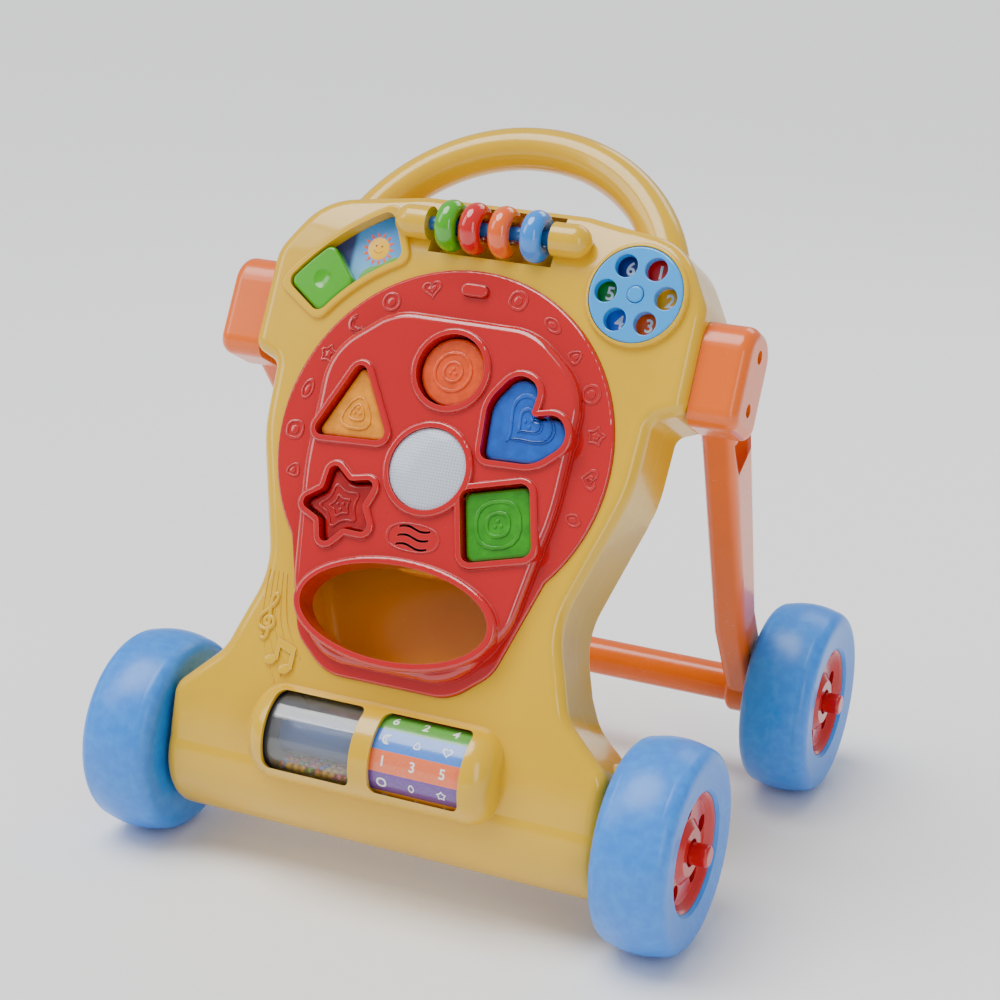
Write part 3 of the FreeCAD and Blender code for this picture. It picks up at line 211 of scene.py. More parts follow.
def piece(name, source, body, material, place=Matrix.Identity(4), shape=None):
    """A finished piece from a curve or text, laid where place says. shape moves single points."""
    maker = bpy.data.objects.new(name, source)
    bpy.context.scene.collection.objects.link(maker)
    bpy.context.view_layer.update()
    ready = maker.evaluated_get(bpy.context.evaluated_depsgraph_get())
    mesh = bpy.data.meshes.new_from_object(ready)
    bpy.data.objects.remove(maker)
    shaped = bmesh.new()
    shaped.from_mesh(mesh)
    bmesh.ops.remove_doubles(shaped, verts=shaped.verts, dist=2e-6)
    bmesh.ops.dissolve_degenerate(shaped, edges=shaped.edges, dist=1e-6)
    if shape:
        bmesh.ops.triangulate(shaped, faces=shaped.faces)
        long_edges = [edge for edge in shaped.edges if edge.calc_length() > 1.5 * MM]
        bmesh.ops.subdivide_edges(shaped, edges=long_edges, cuts=3, use_grid_fill=True)
        for vertex in shaped.verts:
            vertex.co = shape(vertex.co)
    bmesh.ops.transform(shaped, matrix=place, verts=shaped.verts)
    bmesh.ops.recalc_face_normals(shaped, faces=shaped.faces)
    shaped.to_mesh(mesh)
    shaped.free()
    mesh.materials.clear()
    mesh.materials.append(material)
    mesh.shade_smooth()
    mesh.set_sharp_from_angle(angle=math.radians(40))
    made = bpy.data.objects.new(name, mesh)
    bpy.context.scene.collection.objects.link(made)
    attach(made, body)
    return made


def panel_place(u, v, w, turn=0.0):
    """Where something lies on the face: its middle at u, v and w, turned by turn degrees."""
    shift = disc + right * (u * MM) + up * (v * MM) + out * (w * MM)
    return Matrix.Translation(shift) @ stand @ Matrix.Rotation(math.radians(turn), 4, "Z")


def flat_curve(name, loops, height, soft):
    """Filled outline with rounded top edges. The same height again is sunk into the wall below."""
    curve = bpy.data.curves.new(name, "CURVE")
    curve.dimensions = "2D"
    curve.fill_mode = "BOTH"
    curve.extrude = (height - soft) * MM
    curve.bevel_depth = soft * MM
    curve.bevel_resolution = 2
    curve.offset = -soft * MM
    for loop in loops:
        spline = curve.splines.new("POLY")
        spline.points.add(len(loop) - 1)
        for point, (x, y) in zip(spline.points, loop):
            point.co = (x * MM, y * MM, 0.0, 1.0)
        spline.use_cyclic_u = True
    return curve


def relief(name, loops, w, height, body, material, soft=0.3):
    """A raised pattern on the face. Its loops are in u and v."""
    outline = flat_curve(name, loops, height, soft)
    return piece(name, outline, body, material, panel_place(0, 0, w))


def strokes(name, lines, radius, body, material, closed=False):
    """Rounded ribs along lines of (u, v, w) points."""
    curve = bpy.data.curves.new(name, "CURVE")
    curve.dimensions = "3D"
    curve.bevel_depth = radius * MM
    curve.bevel_resolution = 3
    curve.use_fill_caps = True
    curve.resolution_u = 6
    for line in lines:
        spline = curve.splines.new("NURBS")
        spline.points.add(len(line) - 1)
        for point, (u, v, w) in zip(spline.points, line):
            point.co = (u * MM, v * MM, w * MM, 1.0)
        spline.use_cyclic_u = closed
        spline.use_endpoint_u = not closed
        spline.order_u = 3
    return piece(name, curve, body, material, panel_place(0, 0, 0))


def placed(loop, u, v, size=1.0, turn=0.0):
    """A loop about 0, 0, scaled, turned by turn degrees and moved."""
    cos = math.cos(math.radians(turn)) * size
    sin = math.sin(math.radians(turn)) * size
    return [(u + x * cos - y * sin, v + x * sin + y * cos) for x, y in loop]


# Music moulded into the skin under the disc's left side: staff lines, a clef and two notes.
FOOT_BEND = -140.0
FOOT_RADIUS = 300.0


def skin_w(v):
    """Depth of the yellow skin where the face bends down to the base."""
    return 0.0 if v > FOOT_BEND else math.sqrt(FOOT_RADIUS ** 2 - (v - FOOT_BEND) ** 2) - FOOT_RADIUS


# The staff starts beside the lid's edge: points on that edge, each with its way outwards.
LID_EDGE = [(-88, -104, -1.0, 0.1), (-84, -124, -0.98, -0.2), (-77, -142, -0.9, -0.43),
            (-65, -156, -0.65, -0.76)]
STAFF_R = 0.6
FIRST_LINE = 2.5
LINE_PITCH = 3.4
PITCH_GROWTH = 0.9
staff = []
for k in range(5):
    line = []
    for t, (u, v, du, dv) in enumerate(LID_EDGE):
        shift = FIRST_LINE + k * (LINE_PITCH + PITCH_GROWTH * t)
        line.append((u + du * shift, v + dv * shift, skin_w(v + dv * shift) + 0.1))
    staff.append(line)
strokes("staff_lines", staff, STAFF_R, "walker_frame", yellow)
CLEF_U = -97.0
CLEF_V = -133.0
CLEF_R = 1.55
CLEF = [(-2, -12), (-3, -15), (1, -16.5), (3, -13), (1, 4), (0, 12), (3, 16), (5.5, 12), (1, 5), (-6, -1),
        (-6, -8), (1, -10.5), (6.5, -6), (4, -0.5), (-1.5, -1.5), (-1.5, -6.5), (1.5, -7)]
clef_line = [(CLEF_U + x, CLEF_V + y, skin_w(CLEF_V + y) + 0.5) for x, y in CLEF]
strokes("clef", [clef_line], CLEF_R, "walker_frame", yellow)
NOTES_U = -82.0
NOTES_V = -164.0
NOTES_HEIGHT = 1.5
oval = [(4.2 * math.cos(math.tau * i / 24), 3.1 * math.sin(math.tau * i / 24)) for i in range(24)]
beam = [(-2.9, 2.5), (-2.9, 17.0), (11.1, 12.5), (11.1, -1.5), (8.9, -1.5), (8.9, 8.4), (-0.7, 11.8),
        (-0.7, 3.0)]
notes = [placed(oval, NOTES_U - 6.0, NOTES_V + 2.0, 1.1, 20),
         placed(oval, NOTES_U + 6.0, NOTES_V - 2.5, 1.1, 20), placed(beam, NOTES_U, NOTES_V)]
notes_w = skin_w(NOTES_V + 6.0) + 0.1
relief("beamed_notes", notes, notes_w, NOTES_HEIGHT, "walker_frame", yellow, 0.45)

# --- screws ---------------------------------------------------------------------------------------
# Zinc-plated cross-head screws hold the shells, the legs and the battery door. The battery contacts are
# stamped from sheet with the same plating.
zinc = Finish("zinc_screws", Metallic=1.0, IOR=2.0)
turned = zinc.noise(1.2, 5.0)
zinc.wear("Base Color", zinc.blend(zinc.step(turned, 0.35, 0.7), colour("9C9EA3"), colour("C9CACD")))
zinc.wear("Roughness", 0.22 + turned * 0.25)
zinc.wear("Normal", zinc.bump(turned, 0.01))
dress(zinc.material, "shell_screws", "leg_screws", "door_screw", "battery_contacts")

# --- red sorter panel -----------------------------------------------------------------------------
# A red lid moulded in ABS and polished, glossier than the shells. Its rim carries small moulded
# pictures, and a raised field holds the shape holes, the button, the sound slots and the mouth.
red = moulded("red_panel_plastic", colour("BE0008"), gloss=0.06, coat=0.9, peel=0.006)
dress(red, "sorter_panel", "panel_clip")
RIM_PICTURES_R = 109.0
PICTURE_SIZE = 6.8
PICTURE_INSIDE = 5.1
PICTURE_MIDDLE = 2.7
PICTURE_HEIGHT = 0.75


def circle_loop(u, v, radius, count=36):
    """Points round a circle."""
    return [(u + radius * math.cos(math.tau * i / count), v + radius * math.sin(math.tau * i / count))
            for i in range(count)]


def softened(corners, rounds=3):
    """Corners cut again and again, which rounds them."""
    points = list(corners)
    for _ in range(rounds):
        cut = []
        for i, (x, y) in enumerate(points):
            nx, ny = points[(i + 1) % len(points)]
            cut.append((x * 0.75 + nx * 0.25, y * 0.75 + ny * 0.25))
            cut.append((x * 0.25 + nx * 0.75, y * 0.25 + ny * 0.75))
        points = cut
    return points


def panel_box(node):
    """Lowest and highest u, v and w of a node."""
    spots = [vertex.co - disc for vertex in nodes[node].data.vertices]
    spans = []
    for way in (right, up, out):
        reach = [spot.dot(way) / MM for spot in spots]
        spans.append((min(reach), max(reach)))
    return spans


def middle(node):
    """Middle of a node's box, as u and v."""
    (u0, u1), (v0, v1), _ = panel_box(node)
    return (u0 + u1) / 2, (v0 + v1) / 2


square = softened([(-1, -1), (1, -1), (1, 1), (-1, 1)], 2)
triangle = softened([(-1.05, -0.8), (1.05, -0.8), (0, 1.1)], 2)
heart = []
for i in range(40):
    t = math.tau * i / 40
    heart.append((math.sin(t) ** 3 * 1.05, (13 * math.cos(t) - 5 * math.cos(2 * t) - 2 * math.cos(3 * t)
                                            - math.cos(4 * t)) / 16))
star = []
for i in range(5):
    for reach, shift in ((1.15, 0), (0.62, 36)):
        turn = math.radians(90 + 72 * i + shift)
        star.append((reach * math.cos(turn), reach * math.sin(turn)))
star = softened(star, 2)
disc_loop = circle_loop(0, 0, 1.0)
leaf = softened([(-1.2, 0), (-0.3, 0.7), (0.9, 0.5), (1.3, 0), (0.9, -0.5), (-0.3, -0.7)], 2)
moon = []
for i in range(24):
    turn = math.radians(60 + 240 * i / 23)
    moon.append((math.cos(turn), math.sin(turn)))
for i in range(24):
    turn = math.radians(285 - 210 * i / 23)
    moon.append((0.42 + 0.78 * math.cos(turn), 0.78 * math.sin(turn)))
diamond = softened([(0, -1.15), (0.8, 0), (0, 1.15), (-0.8, 0)], 2)
rim_pictures = []
for angle, loop in ((17, square), (33, leaf), (48, triangle), (63, disc_loop), (78, star), (93, heart),
                    (108, diamond), (-17, heart), (-33, disc_loop), (-48, moon), (-63, star), (-78, leaf),
                    (-93, square), (-108, triangle)):
    turn = math.radians(90 - angle)
    u = RIM_PICTURES_R * math.cos(turn)
    v = RIM_PICTURES_R * math.sin(turn)
    rim_pictures.append(placed(loop, u, v, PICTURE_SIZE, -angle))
    rim_pictures.append(placed(loop, u, v, PICTURE_INSIDE, -angle))
    if loop is not moon:
        rim_pictures.append(placed(loop, u, v, PICTURE_MIDDLE, -angle))
RIM_TOP = 2.5
relief("rim_pictures", rim_pictures, RIM_TOP, PICTURE_HEIGHT, "walker_frame", red, 0.25)
sound_u, sound_v = middle("speaker")
FRAME_U = 17.5
FRAME_V = 8.6
FRAME_OUTSIDE = 1.12
FRAME_INSIDE = 1.02
FRAME_HEIGHT = 0.7
PLATEAU_TOP = 12.0
capsule = softened([(-FRAME_U, -FRAME_V), (FRAME_U, -FRAME_V), (FRAME_U, FRAME_V), (-FRAME_U, FRAME_V)])
sound_rim = [placed(capsule, sound_u, sound_v, size) for size in (FRAME_OUTSIDE, FRAME_INSIDE)]
relief("sound_frame", sound_rim, PLATEAU_TOP, FRAME_HEIGHT, "walker_frame", red, 0.25)

# --- bin ------------------------------------------------------------------------------------------
# The tub behind the panel catches the shapes. It and the box behind the light button are moulded in the
# shells' yellow plastic, coloured a deeper, browner amber as painted shade inside the mouth.
bin_yellow_and_painted_shade = moulded("bin_plastic_and_painted_shade", colour("F09A04"), gloss=0.22, coat=0.25, worn=False)
dress(bin_yellow_and_painted_shade, "sorter_bin", "sound_box")

# --- shape blocks ---------------------------------------------------------------------------------
# Five chunky blocks in cloudy coloured plastic, one for each hole. Each top is moulded with raised
# outlines of its own shape and three dots, so that small fingers can feel it.
BLOCKS = {
    "triangle": ("F59A00", triangle, "yellow_part", 0.0),
    "circle": ("EE5006", disc_loop, "orange_part", 0.0),
    "heart": ("0A5CC8", heart, "blue_part", -42.0),
    "square": ("2F9A06", square, "green_part", 15.0),
    "star": ("B00008", star, "red_hub", -49.0),
}
# How much of a block's top its outlines take up, and how far a triangle's middle lies below its box's.
POINTED = ("star", "triangle", "heart")
POINTED_FILL = 0.68
ROUND_FILL = 0.62
TRIANGLE_DROP = 5.0
OUTLINES = (0.98, 0.84, 0.52, 0.40)
OUTLINE_HEIGHT = 0.9
DOT_R = 1.1
DOT_SHIFT = 0.15


def cloudy(name, code):
    """Coloured plastic, cloudy inside, with a polished skin."""
    finish = Finish(name, IOR=1.49, Coat_Weight=0.6, Coat_Roughness=0.05)
    swirl = finish.noise(9, 5.0, 0.6)
    marks = finish.noise(2.5, 6.0)
    finish.wear("Base Color", finish.blend(finish.step(swirl, 0.3, 0.75), tinted(colour(code), -0.30),
                                           colour(code)))
    finish.wear("Roughness", 0.10 + swirl * 0.10)
    finish.wear("Normal", finish.bump(marks, 0.05, finish.bump(swirl, 0.35)))
    return finish.material


def front_of(node):
    """How far out of the face a node reaches."""
    return panel_box(node)[2][1]


for name, (code, loop, slot, turn) in BLOCKS.items():
    node = "block_" + name
    block_plastic = cloudy(name + "_block_plastic", code)
    dress(block_plastic, node)
    u, v = middle(node)
    (u0, u1), (v0, v1), _ = panel_box(node)
    reach = min(u1 - u0, v1 - v0) / 2 * (POINTED_FILL if name in POINTED else ROUND_FILL)
    if name == "triangle":
        v = v - TRIANGLE_DROP
    rings = [placed(loop, u, v, reach * size, turn) for size in OUTLINES]
    for k in range(3):
        way = math.radians(turn + 90 + 120 * k)
        shift_u = reach * DOT_SHIFT * math.cos(way)
        shift_v = reach * DOT_SHIFT * math.sin(way)
        rings.append(circle_loop(u + shift_u, v + shift_v, DOT_R, 16))
    relief(name + "_block_top", rings, front_of(node), OUTLINE_HEIGHT, name + "_block_body",
           block_plastic, 0.35)

# --- light button ---------------------------------------------------------------------------------
# A milky domed lens with a fine grid of little pyramids moulded behind it. It is pressed like a button,
# and lamps on the board light it.
lens = Finish("lens_plastic", IOR=1.49, Coat_Weight=0.5, Coat_Roughness=0.08, Transmission_Weight=0.1)
place = lens.node("TexCoord", give=3)
GRID_PITCH = 2.1
walls_of_grid = []
for way in (right, up):
    along = lens.node("VectorMath", {"operation": "DOT_PRODUCT"}, {0: place, 1: tuple(way)}, give=1)
    wave = lens.node("Math", {"operation": "PINGPONG"}, {0: along / (GRID_PITCH * MM), 1: 0.5})
    walls_of_grid.append(lens.step(wave, 0.0, 0.14))
grid_and_groove_shade = walls_of_grid[0] * walls_of_grid[1]
# Painted shade: the grooves between the little pyramids are coloured darker than the rest of the lens.
lens.wear("Base Color", lens.blend(grid_and_groove_shade, colour("A9B7CC"), colour("D3DCE8")))
lens.wear("Roughness", 0.24 + lens.noise(10, 3.0) * 0.12)
lens.wear("Normal", lens.bump(grid_and_groove_shade, 0.16))
dress(lens.material, "light_button")

# --- sound box, board, lamps and speaker ----------------------------------------------------------
# A box behind the button, amber as painted shade, holds a green circuit board, clear lamps and a dark
# speaker.
dark = moulded("dark_inner_plastic", colour("26272A"), gloss=0.4, coat=0.0, worn=False)
dress(dark, "speaker", "battery_box")
board = Finish("solder_mask", IOR=1.5, Coat_Weight=0.3)
tracks = board.step(board.noise(3, 6.0), 0.48, 0.52)
board.wear("Base Color", board.blend(tracks, colour("0B4A22"), colour("12642F")))
board.wear("Roughness", 0.3 + tracks * 0.1)
board.wear("Normal", board.bump(tracks, 0.03))
dress(board.material, "circuit_board")
lamp = Finish("clear_lamp", IOR=1.5, Transmission_Weight=0.6)
lamp.wear("Base Color", lamp.blend(lamp.noise(2, 2.0), colour("F4EFD8"), colour("FFFFFF")))
lamp.wear("Roughness", 0.08 + lamp.noise(4, 2.0) * 0.08)
dress(lamp.material, "board_lamps")

# --- number plate and dial ------------------------------------------------------------------------
# A light-blue finger dial turns over a plate. Through each of its six holes shows a raised coloured
# pad with a number, printed in white and lacquered.
sky_blue = moulded("dial_plastic", colour("2E9EEA"), gloss=0.15, coat=0.4)
dress(sky_blue, "dial", "dial_screw")
plate_plastic = moulded("plate_plastic", colour("1E4E8C"), gloss=0.3, coat=0.2, worn=False)
dress(plate_plastic, "number_plate")
dial_at = Vector(joints["dial_turn"]["pos_m"]) - disc
dial_u = dial_at.dot(right) / MM
dial_v = dial_at.dot(up) / MM
FINGER_PITCH_R = 21.0
SPOT_R = 10.1
SPOT_HALF = 1.9
DIAL_FIGURE = 12.5
plate_top = front_of("number_plate")
white_print = moulded("white_print", colour("EFF1F2"), gloss=0.35, coat=0.1, worn=False)


def figure(name, text, size, place, body, height=0.12, shape=None):
    """A printed number, with a hair of thickness."""
    words = bpy.data.curves.new(name, "FONT")
    words.body = text
    words.size = size * MM
    words.align_x = "CENTER"
    words.align_y = "CENTER"
    words.offset = 0.02 * size * MM
    words.extrude = height * MM
    return piece(name, words, body, white_print, place, shape)


for number, angle, code in ((6, 120, "0C2A86"), (5, 180, "0A8A2C"), (4, 240, "0F66D8"), (3, 300, "F05A06"),
                            (2, 0, "FFB400"), (1, 60, "DC140C")):
    turn = math.radians(angle)
    u = dial_u + FINGER_PITCH_R * math.cos(turn)
    v = dial_v + FINGER_PITCH_R * math.sin(turn)
    spot_ink = moulded(f"spot_{number}_ink", colour(code), gloss=0.28, coat=0.3, worn=False)
    relief(f"spot_{number}", [circle_loop(u, v, SPOT_R)], plate_top + SPOT_HALF, SPOT_HALF + 0.1,
           "walker_frame", spot_ink, 0.4)
    on_pad = panel_place(u, v, plate_top + 2 * SPOT_HALF + 0.15)
    figure(f"figure_{number}", str(number), DIAL_FIGURE, on_pad, "walker_frame")

# --- picture card and slider ----------------------------------------------------------------------
# A printed card under an arc window: a sun over green hills at one end and a moon with stars at the
# other. A leaf-green slider with a thumb dimple covers one picture or the other.
card = Finish("printed_card", IOR=1.45, Coat_Weight=0.5, Coat_Roughness=0.12)
card_u = (panel_box("picture_card")[0][0] + panel_box("picture_card")[0][1]) / 2
place = card.node("TexCoord", give=3)
across = card.node("VectorMath", {"operation": "DOT_PRODUCT"}, {0: place, 1: tuple(right)}, give=1)
night = card.step(across, (card_u - 4) * MM, (card_u + 1) * MM)
rise = card.node("VectorMath", {"operation": "DOT_PRODUCT"}, {0: place, 1: tuple(up)}, give=1)
card_low, card_high = panel_box("picture_card")[1]
ground = disc.dot(up)
sky = card.step(rise, ground + card_low * MM, ground + card_high * MM)
day = card.blend(sky, colour("8FD2F6"), colour("2488DC"))
paper = card.noise(0.8, 4.0)
card.wear("Base Color", card.blend(night, colour("17306F"), day))
card.wear("Roughness", 0.32 + paper * 0.15)
card.wear("Normal", card.bump(paper, 0.012))
dress(card.material, "picture_card")
card_top = front_of("picture_card")
CARD_R = 154.0


def on_arc(angle, reach=CARD_R):
    """The u and v of a point on the window's arc, angle degrees left of its top."""
    turn = math.radians(angle)
    return -reach * math.sin(turn), reach * math.cos(turn)


SUN_R = 8.0
SMILE_R = 4.0
EYE_R = 0.75
RAY_IN = 8.7
RAY_OUT = 12.4
sun_u, sun_v = on_arc(33.0)
sun_ink = moulded("sun_ink", colour("FFC412"), gloss=0.3, coat=0.3, worn=False)
rays = []
for k in range(14):
    turn = math.tau * k / 14
    ray = [(RAY_IN, turn - 0.15), (RAY_OUT, turn), (RAY_IN, turn + 0.15)]
    rays.append([(sun_u + reach * math.cos(way), sun_v + reach * math.sin(way)) for reach, way in ray])
ray_ink = moulded("ray_ink", colour("F05A06"), gloss=0.3, coat=0.3, worn=False)
relief("sun_rays", rays, card_top, 0.14, "walker_frame", ray_ink, 0.03)
relief("sun_face", [circle_loop(sun_u, sun_v, SUN_R)], card_top, 0.2, "walker_frame",
       sun_ink, 0.05)
smile_ink = moulded("smile_ink", colour("8A3A10"), gloss=0.35, coat=0.2, worn=False)
smile = []
for angle in range(205, 340, 15):
    turn = math.radians(angle)
    smile_u = sun_u + SMILE_R * math.cos(turn)
    smile_v = sun_v + 0.8 + SMILE_R * math.sin(turn)
    smile.append((smile_u, smile_v, card_top + 0.1))
strokes("sun_smile", [smile], 0.22, "walker_frame", smile_ink)
eyes = [circle_loop(sun_u + side, sun_v + 1.8, EYE_R, 14) for side in (-2.2, 2.2)]
relief("sun_eyes", eyes, card_top, 0.3, "walker_frame", smile_ink, 0.05)
hill_ink = moulded("hill_ink", colour("4CA80C"), gloss=0.3, coat=0.3, worn=False)
HILLS = ((28.0, 137.0), (33.0, 137.0), (37.5, 137.2), (41.0, 137.5), (41.5, 143.0), (38.0, 146.0),
         (34.0, 142.5), (30.5, 144.0), (27.5, 141.0))
hills = softened([on_arc(angle, reach) for angle, reach in HILLS], 2)
relief("hills", [hills], card_top, 0.12, "walker_frame", hill_ink, 0.03)
moon_u, moon_v = on_arc(50.0)
relief("moon_picture", [placed(moon, moon_u, moon_v, 8.0, 10)], card_top, 0.15, "walker_frame",
       sun_ink, 0.04)
stars = [placed(star, *on_arc(46.0, 163.0), 2.6), placed(star, *on_arc(53.0, 144.0), 2.0),
         placed(star, *on_arc(44.5, 147.0), 2.2)]
relief("star_picture", stars, card_top, 0.15, "walker_frame", sun_ink, 0.04)
green = moulded("slider_plastic", colour("44A60A"), gloss=0.16, coat=0.4)
dress(green, "picture_slider")

# --- ring rod and rings ---------------------------------------------------------------------------
# Four fat rings slide on a blue rod between two domed bosses. Each ring is moulded in one piece of
# coloured plastic and polished.
rod_blue = moulded("rod_plastic", colour("1C62A8"), gloss=0.2, coat=0.3)
dress(rod_blue, "ring_rod")
for name, code in (("green", "44A806"), ("red", "CC060E"), ("orange", "F05E0C"), ("blue", "1E86E4")):
    dress(moulded(f"{name}_ring_plastic", colour(code), gloss=0.11, coat=0.7, worn=False), "ring_" + name)

# --- rollers --------------------------------------------------------------------------------------
# Two rollers spin in the base: a clear drum with a blue core and loose beads, and a printed drum with
# coloured stripes, numbers and shapes.
clear = Finish("clear_drum_plastic", IOR=1.46, Transmission_Weight=0.94, Coat_Weight=0.3)
smear = clear.noise(12, 5.0)
clear.wear("Base Color", clear.blend(smear, colour("F4F8FA"), colour("FFFFFF")))
clear.wear("Roughness", 0.02 + clear.step(smear, 0.5, 0.8) * 0.06)
dress(clear.material, "bead_drum")
dress(moulded("core_plastic", colour("0E5098"), gloss=0.35, coat=0.2, worn=False), "bead_drum_core")
dress(moulded("cap_plastic", colour("20242E"), gloss=0.3, coat=0.2), "bead_drum_caps")
beads = Finish("bead_plastic", IOR=1.5, Coat_Weight=0.5)
place = beads.node("TexCoord", give=3)
BEADS_PER_METRE = 150.0
grain = beads.node("TexVoronoi", {"feature": "F1"}, {"Vector": place, "Scale": BEADS_PER_METRE}, give=1)
hue = beads.node("SeparateColor", None, {0: grain}, give=0)
BEAD_INKS = ("D8120C", "FFC000", "149A24", "1470E0", "F06A08", "D8307C")
stops = [(i / len(BEAD_INKS), colour(code)) for i, code in enumerate(BEAD_INKS)]
ramp = beads.node("ValToRGB", {"stops": stops}, {0: hue})
ramp.socket.node.color_ramp.interpolation = "CONSTANT"
beads.wear("Base Color", ramp)
beads.wear("Roughness", 0.16 + beads.noise(3, 2.0) * 0.1)
dress(beads.material, "rattle_beads")

roller_at = Vector(joints["striped_roller_spin"]["pos_m"])
STRIPES = ("5A1890", "F6B400", "D00C0A", "3CA00A", "1478DC", "F0640A", "F6B400", "5A1890", "D00C0A",
           "3CA00A", "1478DC", "F0640A")
printed = Finish("striped_print", IOR=1.5, Coat_Weight=0.6, Coat_Roughness=0.05)
place = printed.node("TexCoord", give=3)
spread = printed.node("SeparateXYZ", None, {0: place})
depth = Value(printed, spread.socket.node.outputs[1]) - roller_at.y
height = Value(printed, spread.socket.node.outputs[2]) - roller_at.z
angle = printed.node("Math", {"operation": "ARCTAN2"}, {0: height, 1: depth}) / math.tau + 0.5
stops = [(i / len(STRIPES), colour(code)) for i, code in enumerate(STRIPES)]
stripe = printed.node("ValToRGB", {"stops": stops}, {0: angle})
stripe.socket.node.color_ramp.interpolation = "CONSTANT"
speckle = printed.noise(1.5, 4.0)
printed.wear("Base Color", printed.blend(speckle * 0.12, stripe, colour("FFFFFF")))
printed.wear("Roughness", 0.16 + speckle * 0.1)
printed.wear("Normal", printed.bump(speckle, 0.012))
dress(printed.material, "striped_drum")
low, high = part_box("striped_drum")
drum_r = (high.z - low.z) / 2
FIRST_COLUMN = 0.2
COLUMN_PITCH = 0.3
DRUM_FIGURE = 9.5
SHAPE_SIZE = 3.6
SHAPE_INSIDE = 2.3
INK_HEIGHT = 0.09
symbols = ("1", heart, "2", star, "3", moon, "4", square, "5", triangle, "6", diamond)
for row in range(12):
    for column in range(3):
        symbol = symbols[(row * 5 + column * 4) % 12]
        theta = math.tau * (row + 0.5) / 12
        x = low.x + (high.x - low.x) * (FIRST_COLUMN + COLUMN_PITCH * column)

        def wrap(co, theta=theta, x=x):
            """Lays a flat point round the drum."""
            turn = theta + co.y / drum_r
            radius = drum_r + co.z
            y = roller_at.y - radius * math.cos(turn)
            return Vector((x + co.x, y, roller_at.z + radius * math.sin(turn)))

        label = f"print_{row}_{column}"
        if isinstance(symbol, str):
            figure(label, symbol, DRUM_FIGURE, Matrix.Identity(4), "striped_roller", 0.08,
                   wrap)
        else:
            rings = [placed(symbol, 0, 0, size) for size in (SHAPE_SIZE, SHAPE_INSIDE)]
            outline = flat_curve(label, rings, INK_HEIGHT, 0.02)
            piece(label, outline, "striped_roller", white_print, shape=wrap)

# --- axles, bushes and caps -----------------------------------------------------------------------
# Drawn steel axles run through white bushes. Red push caps, pressed on the ends, hold the wheels on.
steel = Finish("drawn_steel", Metallic=1.0, IOR=2.2)
lines = steel.noise(0.6, 6.0)
steel.wear("Base Color", steel.blend(lines, colour("8E9095"), colour("BDBFC3")))
steel.wear("Roughness", 0.2 + lines * 0.2)
dress(steel.material, "roller_axle", "front_axle", "rear_axle")
dress(moulded("bush_plastic", colour("E4E2DA"), gloss=0.35, coat=0.1), "axle_bushes")

# --- wheels ---------------------------------------------------------------------------------------
# Chunky hollow wheels blown in blue polyethylene, slightly mottled and softer in gloss than the shells,
# with dished red hubs.
tyre = Finish("wheel_plastic", IOR=1.5, Coat_Weight=0.12, Coat_Roughness=0.2)
mottle = tyre.noise(7, 5.0, 0.6)
streak = tyre.noise(22, 3.0)
scrape = tyre.step(tyre.noise(1.4, 8.0, 0.7), 0.62, 0.74)
edge = tyre.edges(1.2)
base = tyre.blend(tyre.step(mottle, 0.35, 0.7), colour("1C7EE2"), colour("2C8CEA"))
base = tyre.blend(tyre.step(streak, 0.45, 0.75) * 0.2, base, colour("1A78DA"))
tyre.wear("Base Color", tyre.blend(scrape * 0.18 + edge * 0.2, base, colour("8CC4F4")))
tyre.wear("Roughness", 0.30 + mottle * 0.14 + scrape * 0.15)
tyre.wear("Normal", tyre.bump(tyre.noise(0.7, 3.0), 0.02, tyre.bump(mottle, 0.04)))
ENDS = ("front_left", "front_right", "rear_left", "rear_right")
dress(tyre.material, *[end + "_tyre" for end in ENDS])
hub_red = moulded("hub_plastic", colour("C40A0C"), gloss=0.2, coat=0.35)
dress(hub_red, "axle_caps", *[end + "_hub" for end in ENDS])

# --- legs -----------------------------------------------------------------------------------------
# Two orange legs are moulded as open troughs and screwed to the shoulders. They carry the rear axle,
# and a bar of the same plastic joins their feet.
orange = moulded("leg_plastic", colour("EC6600"), gloss=0.22, coat=0.25)
dress(orange, "left_leg", "right_leg", "rear_crossbar")

# --- battery bay and switch -----------------------------------------------------------------------
# Two cells in dark sleeves lie in the back, under a yellow ribbed door that slides off. A black slide
# switch sits beside them.
dress(moulded("door_plastic", YELLOW, gloss=0.2), "battery_door")
dress(moulded("cell_sleeve", colour("2A2B30"), gloss=0.2, coat=0.5, worn=False), "battery_cells")
dress(moulded("switch_plastic", colour("1B1C1F"), gloss=0.35, coat=0.1), "power_switch")

# --- floor, light and camera ----------------------------------------------------------------------
# A plain pale floor like a product table, with three soft boxes, a broad light from above and a pale
# surround.
sheet = bpy.data.meshes.new("floor")
FLOOR_R = 12.0
around = [(u, v, 0.0) for u, v in circle_loop(0, 0, FLOOR_R, 64)]
sheet.from_pydata(around, [], [list(range(64))])
floor = bpy.data.objects.new("floor", sheet)
bpy.context.scene.collection.objects.link(floor)
paper_floor = Finish("floor_paper", IOR=1.4)
tooth = paper_floor.noise(3, 4.0)
paper_floor.wear("Base Color", paper_floor.blend(tooth, colour("F6F6F5"), colour("FBFBFA")))
paper_floor.wear("Roughness", 0.55 + tooth * 0.1)
sheet.materials.append(paper_floor.material)

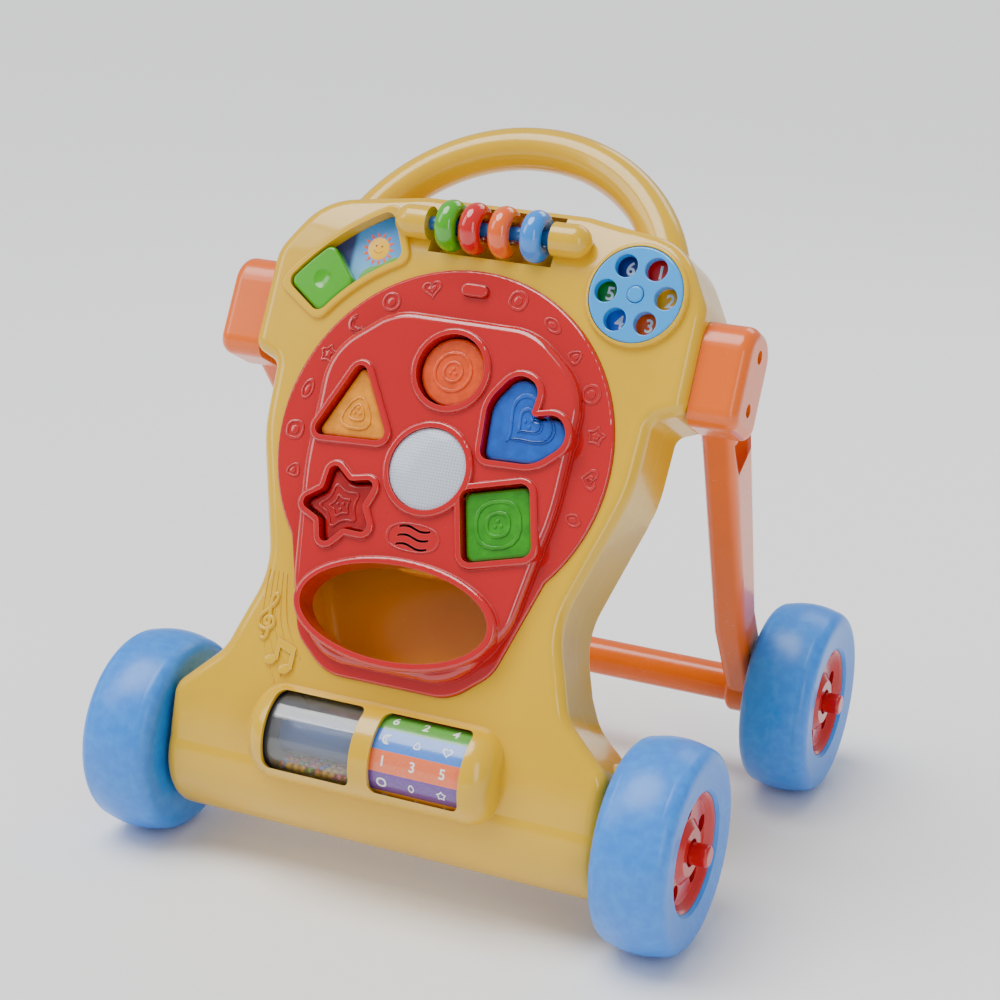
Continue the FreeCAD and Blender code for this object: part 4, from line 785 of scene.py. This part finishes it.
centre = Vector(((cad_box[0][0] + cad_box[1][0]) / 2, (cad_box[0][1] + cad_box[1][1]) / 2,
                 (cad_box[0][2] + cad_box[1][2]) / 2))


def soft_box(name, place, size, power):
    """An area light turned to the toy."""
    lamp_data = bpy.data.lights.new(name, "AREA")
    lamp_data.shape = "RECTANGLE"
    lamp_data.size = size[0]
    lamp_data.size_y = size[1]
    lamp_data.energy = power
    made = bpy.data.objects.new(name, lamp_data)
    made.location = place
    made.rotation_euler = (centre - Vector(place)).to_track_quat("-Z", "Y").to_euler()
    bpy.context.scene.collection.objects.link(made)


soft_box("key_light", (-1.5, -1.1, 1.5), (0.9, 1.2), 12)
soft_box("fill_light", (1.5, -1.4, 0.9), (0.5, 1.4), 8)
soft_box("back_light", (0.3, 1.8, 1.8), (1.4, 0.8), 10)
ceiling_data = bpy.data.lights.new("ceiling_light", "SUN")
ceiling_data.energy = 3.0
ceiling_data.angle = math.radians(40)
ceiling = bpy.data.objects.new("ceiling_light", ceiling_data)
ceiling.rotation_euler = Vector((0.6, 0.4, -2.0)).to_track_quat("-Z", "Y").to_euler()
bpy.context.scene.collection.objects.link(ceiling)
world = bpy.data.worlds.new("pale_surround")
world.use_nodes = True
world.node_tree.nodes["Background"].inputs["Color"].default_value = (0.94, 0.96, 1.0, 1.0)
world.node_tree.nodes["Background"].inputs["Strength"].default_value = 0.5
bpy.context.scene.world = world

AZIMUTH = 24.0
ELEVATION = 17.5
ROLL = 2.5
DISTANCE = 1.62
DROP = 0.012
camera_data = bpy.data.cameras.new("camera")
camera_data.sensor_width = 36.0
camera_data.lens = 82.0
camera = bpy.data.objects.new("camera", camera_data)
bpy.context.scene.collection.objects.link(camera)
turn = math.radians(AZIMUTH)
tilt = math.radians(ELEVATION)
away = Vector((math.sin(turn) * math.cos(tilt), -math.cos(turn) * math.cos(tilt), math.sin(tilt)))
camera.location = centre + away * DISTANCE + Vector((0, 0, -DROP))
aim = (-away).to_track_quat("-Z", "Y").to_matrix().to_4x4()
camera.rotation_euler = (aim @ Matrix.Rotation(math.radians(ROLL), 4, "Z")).to_euler()
bpy.context.scene.camera = camera
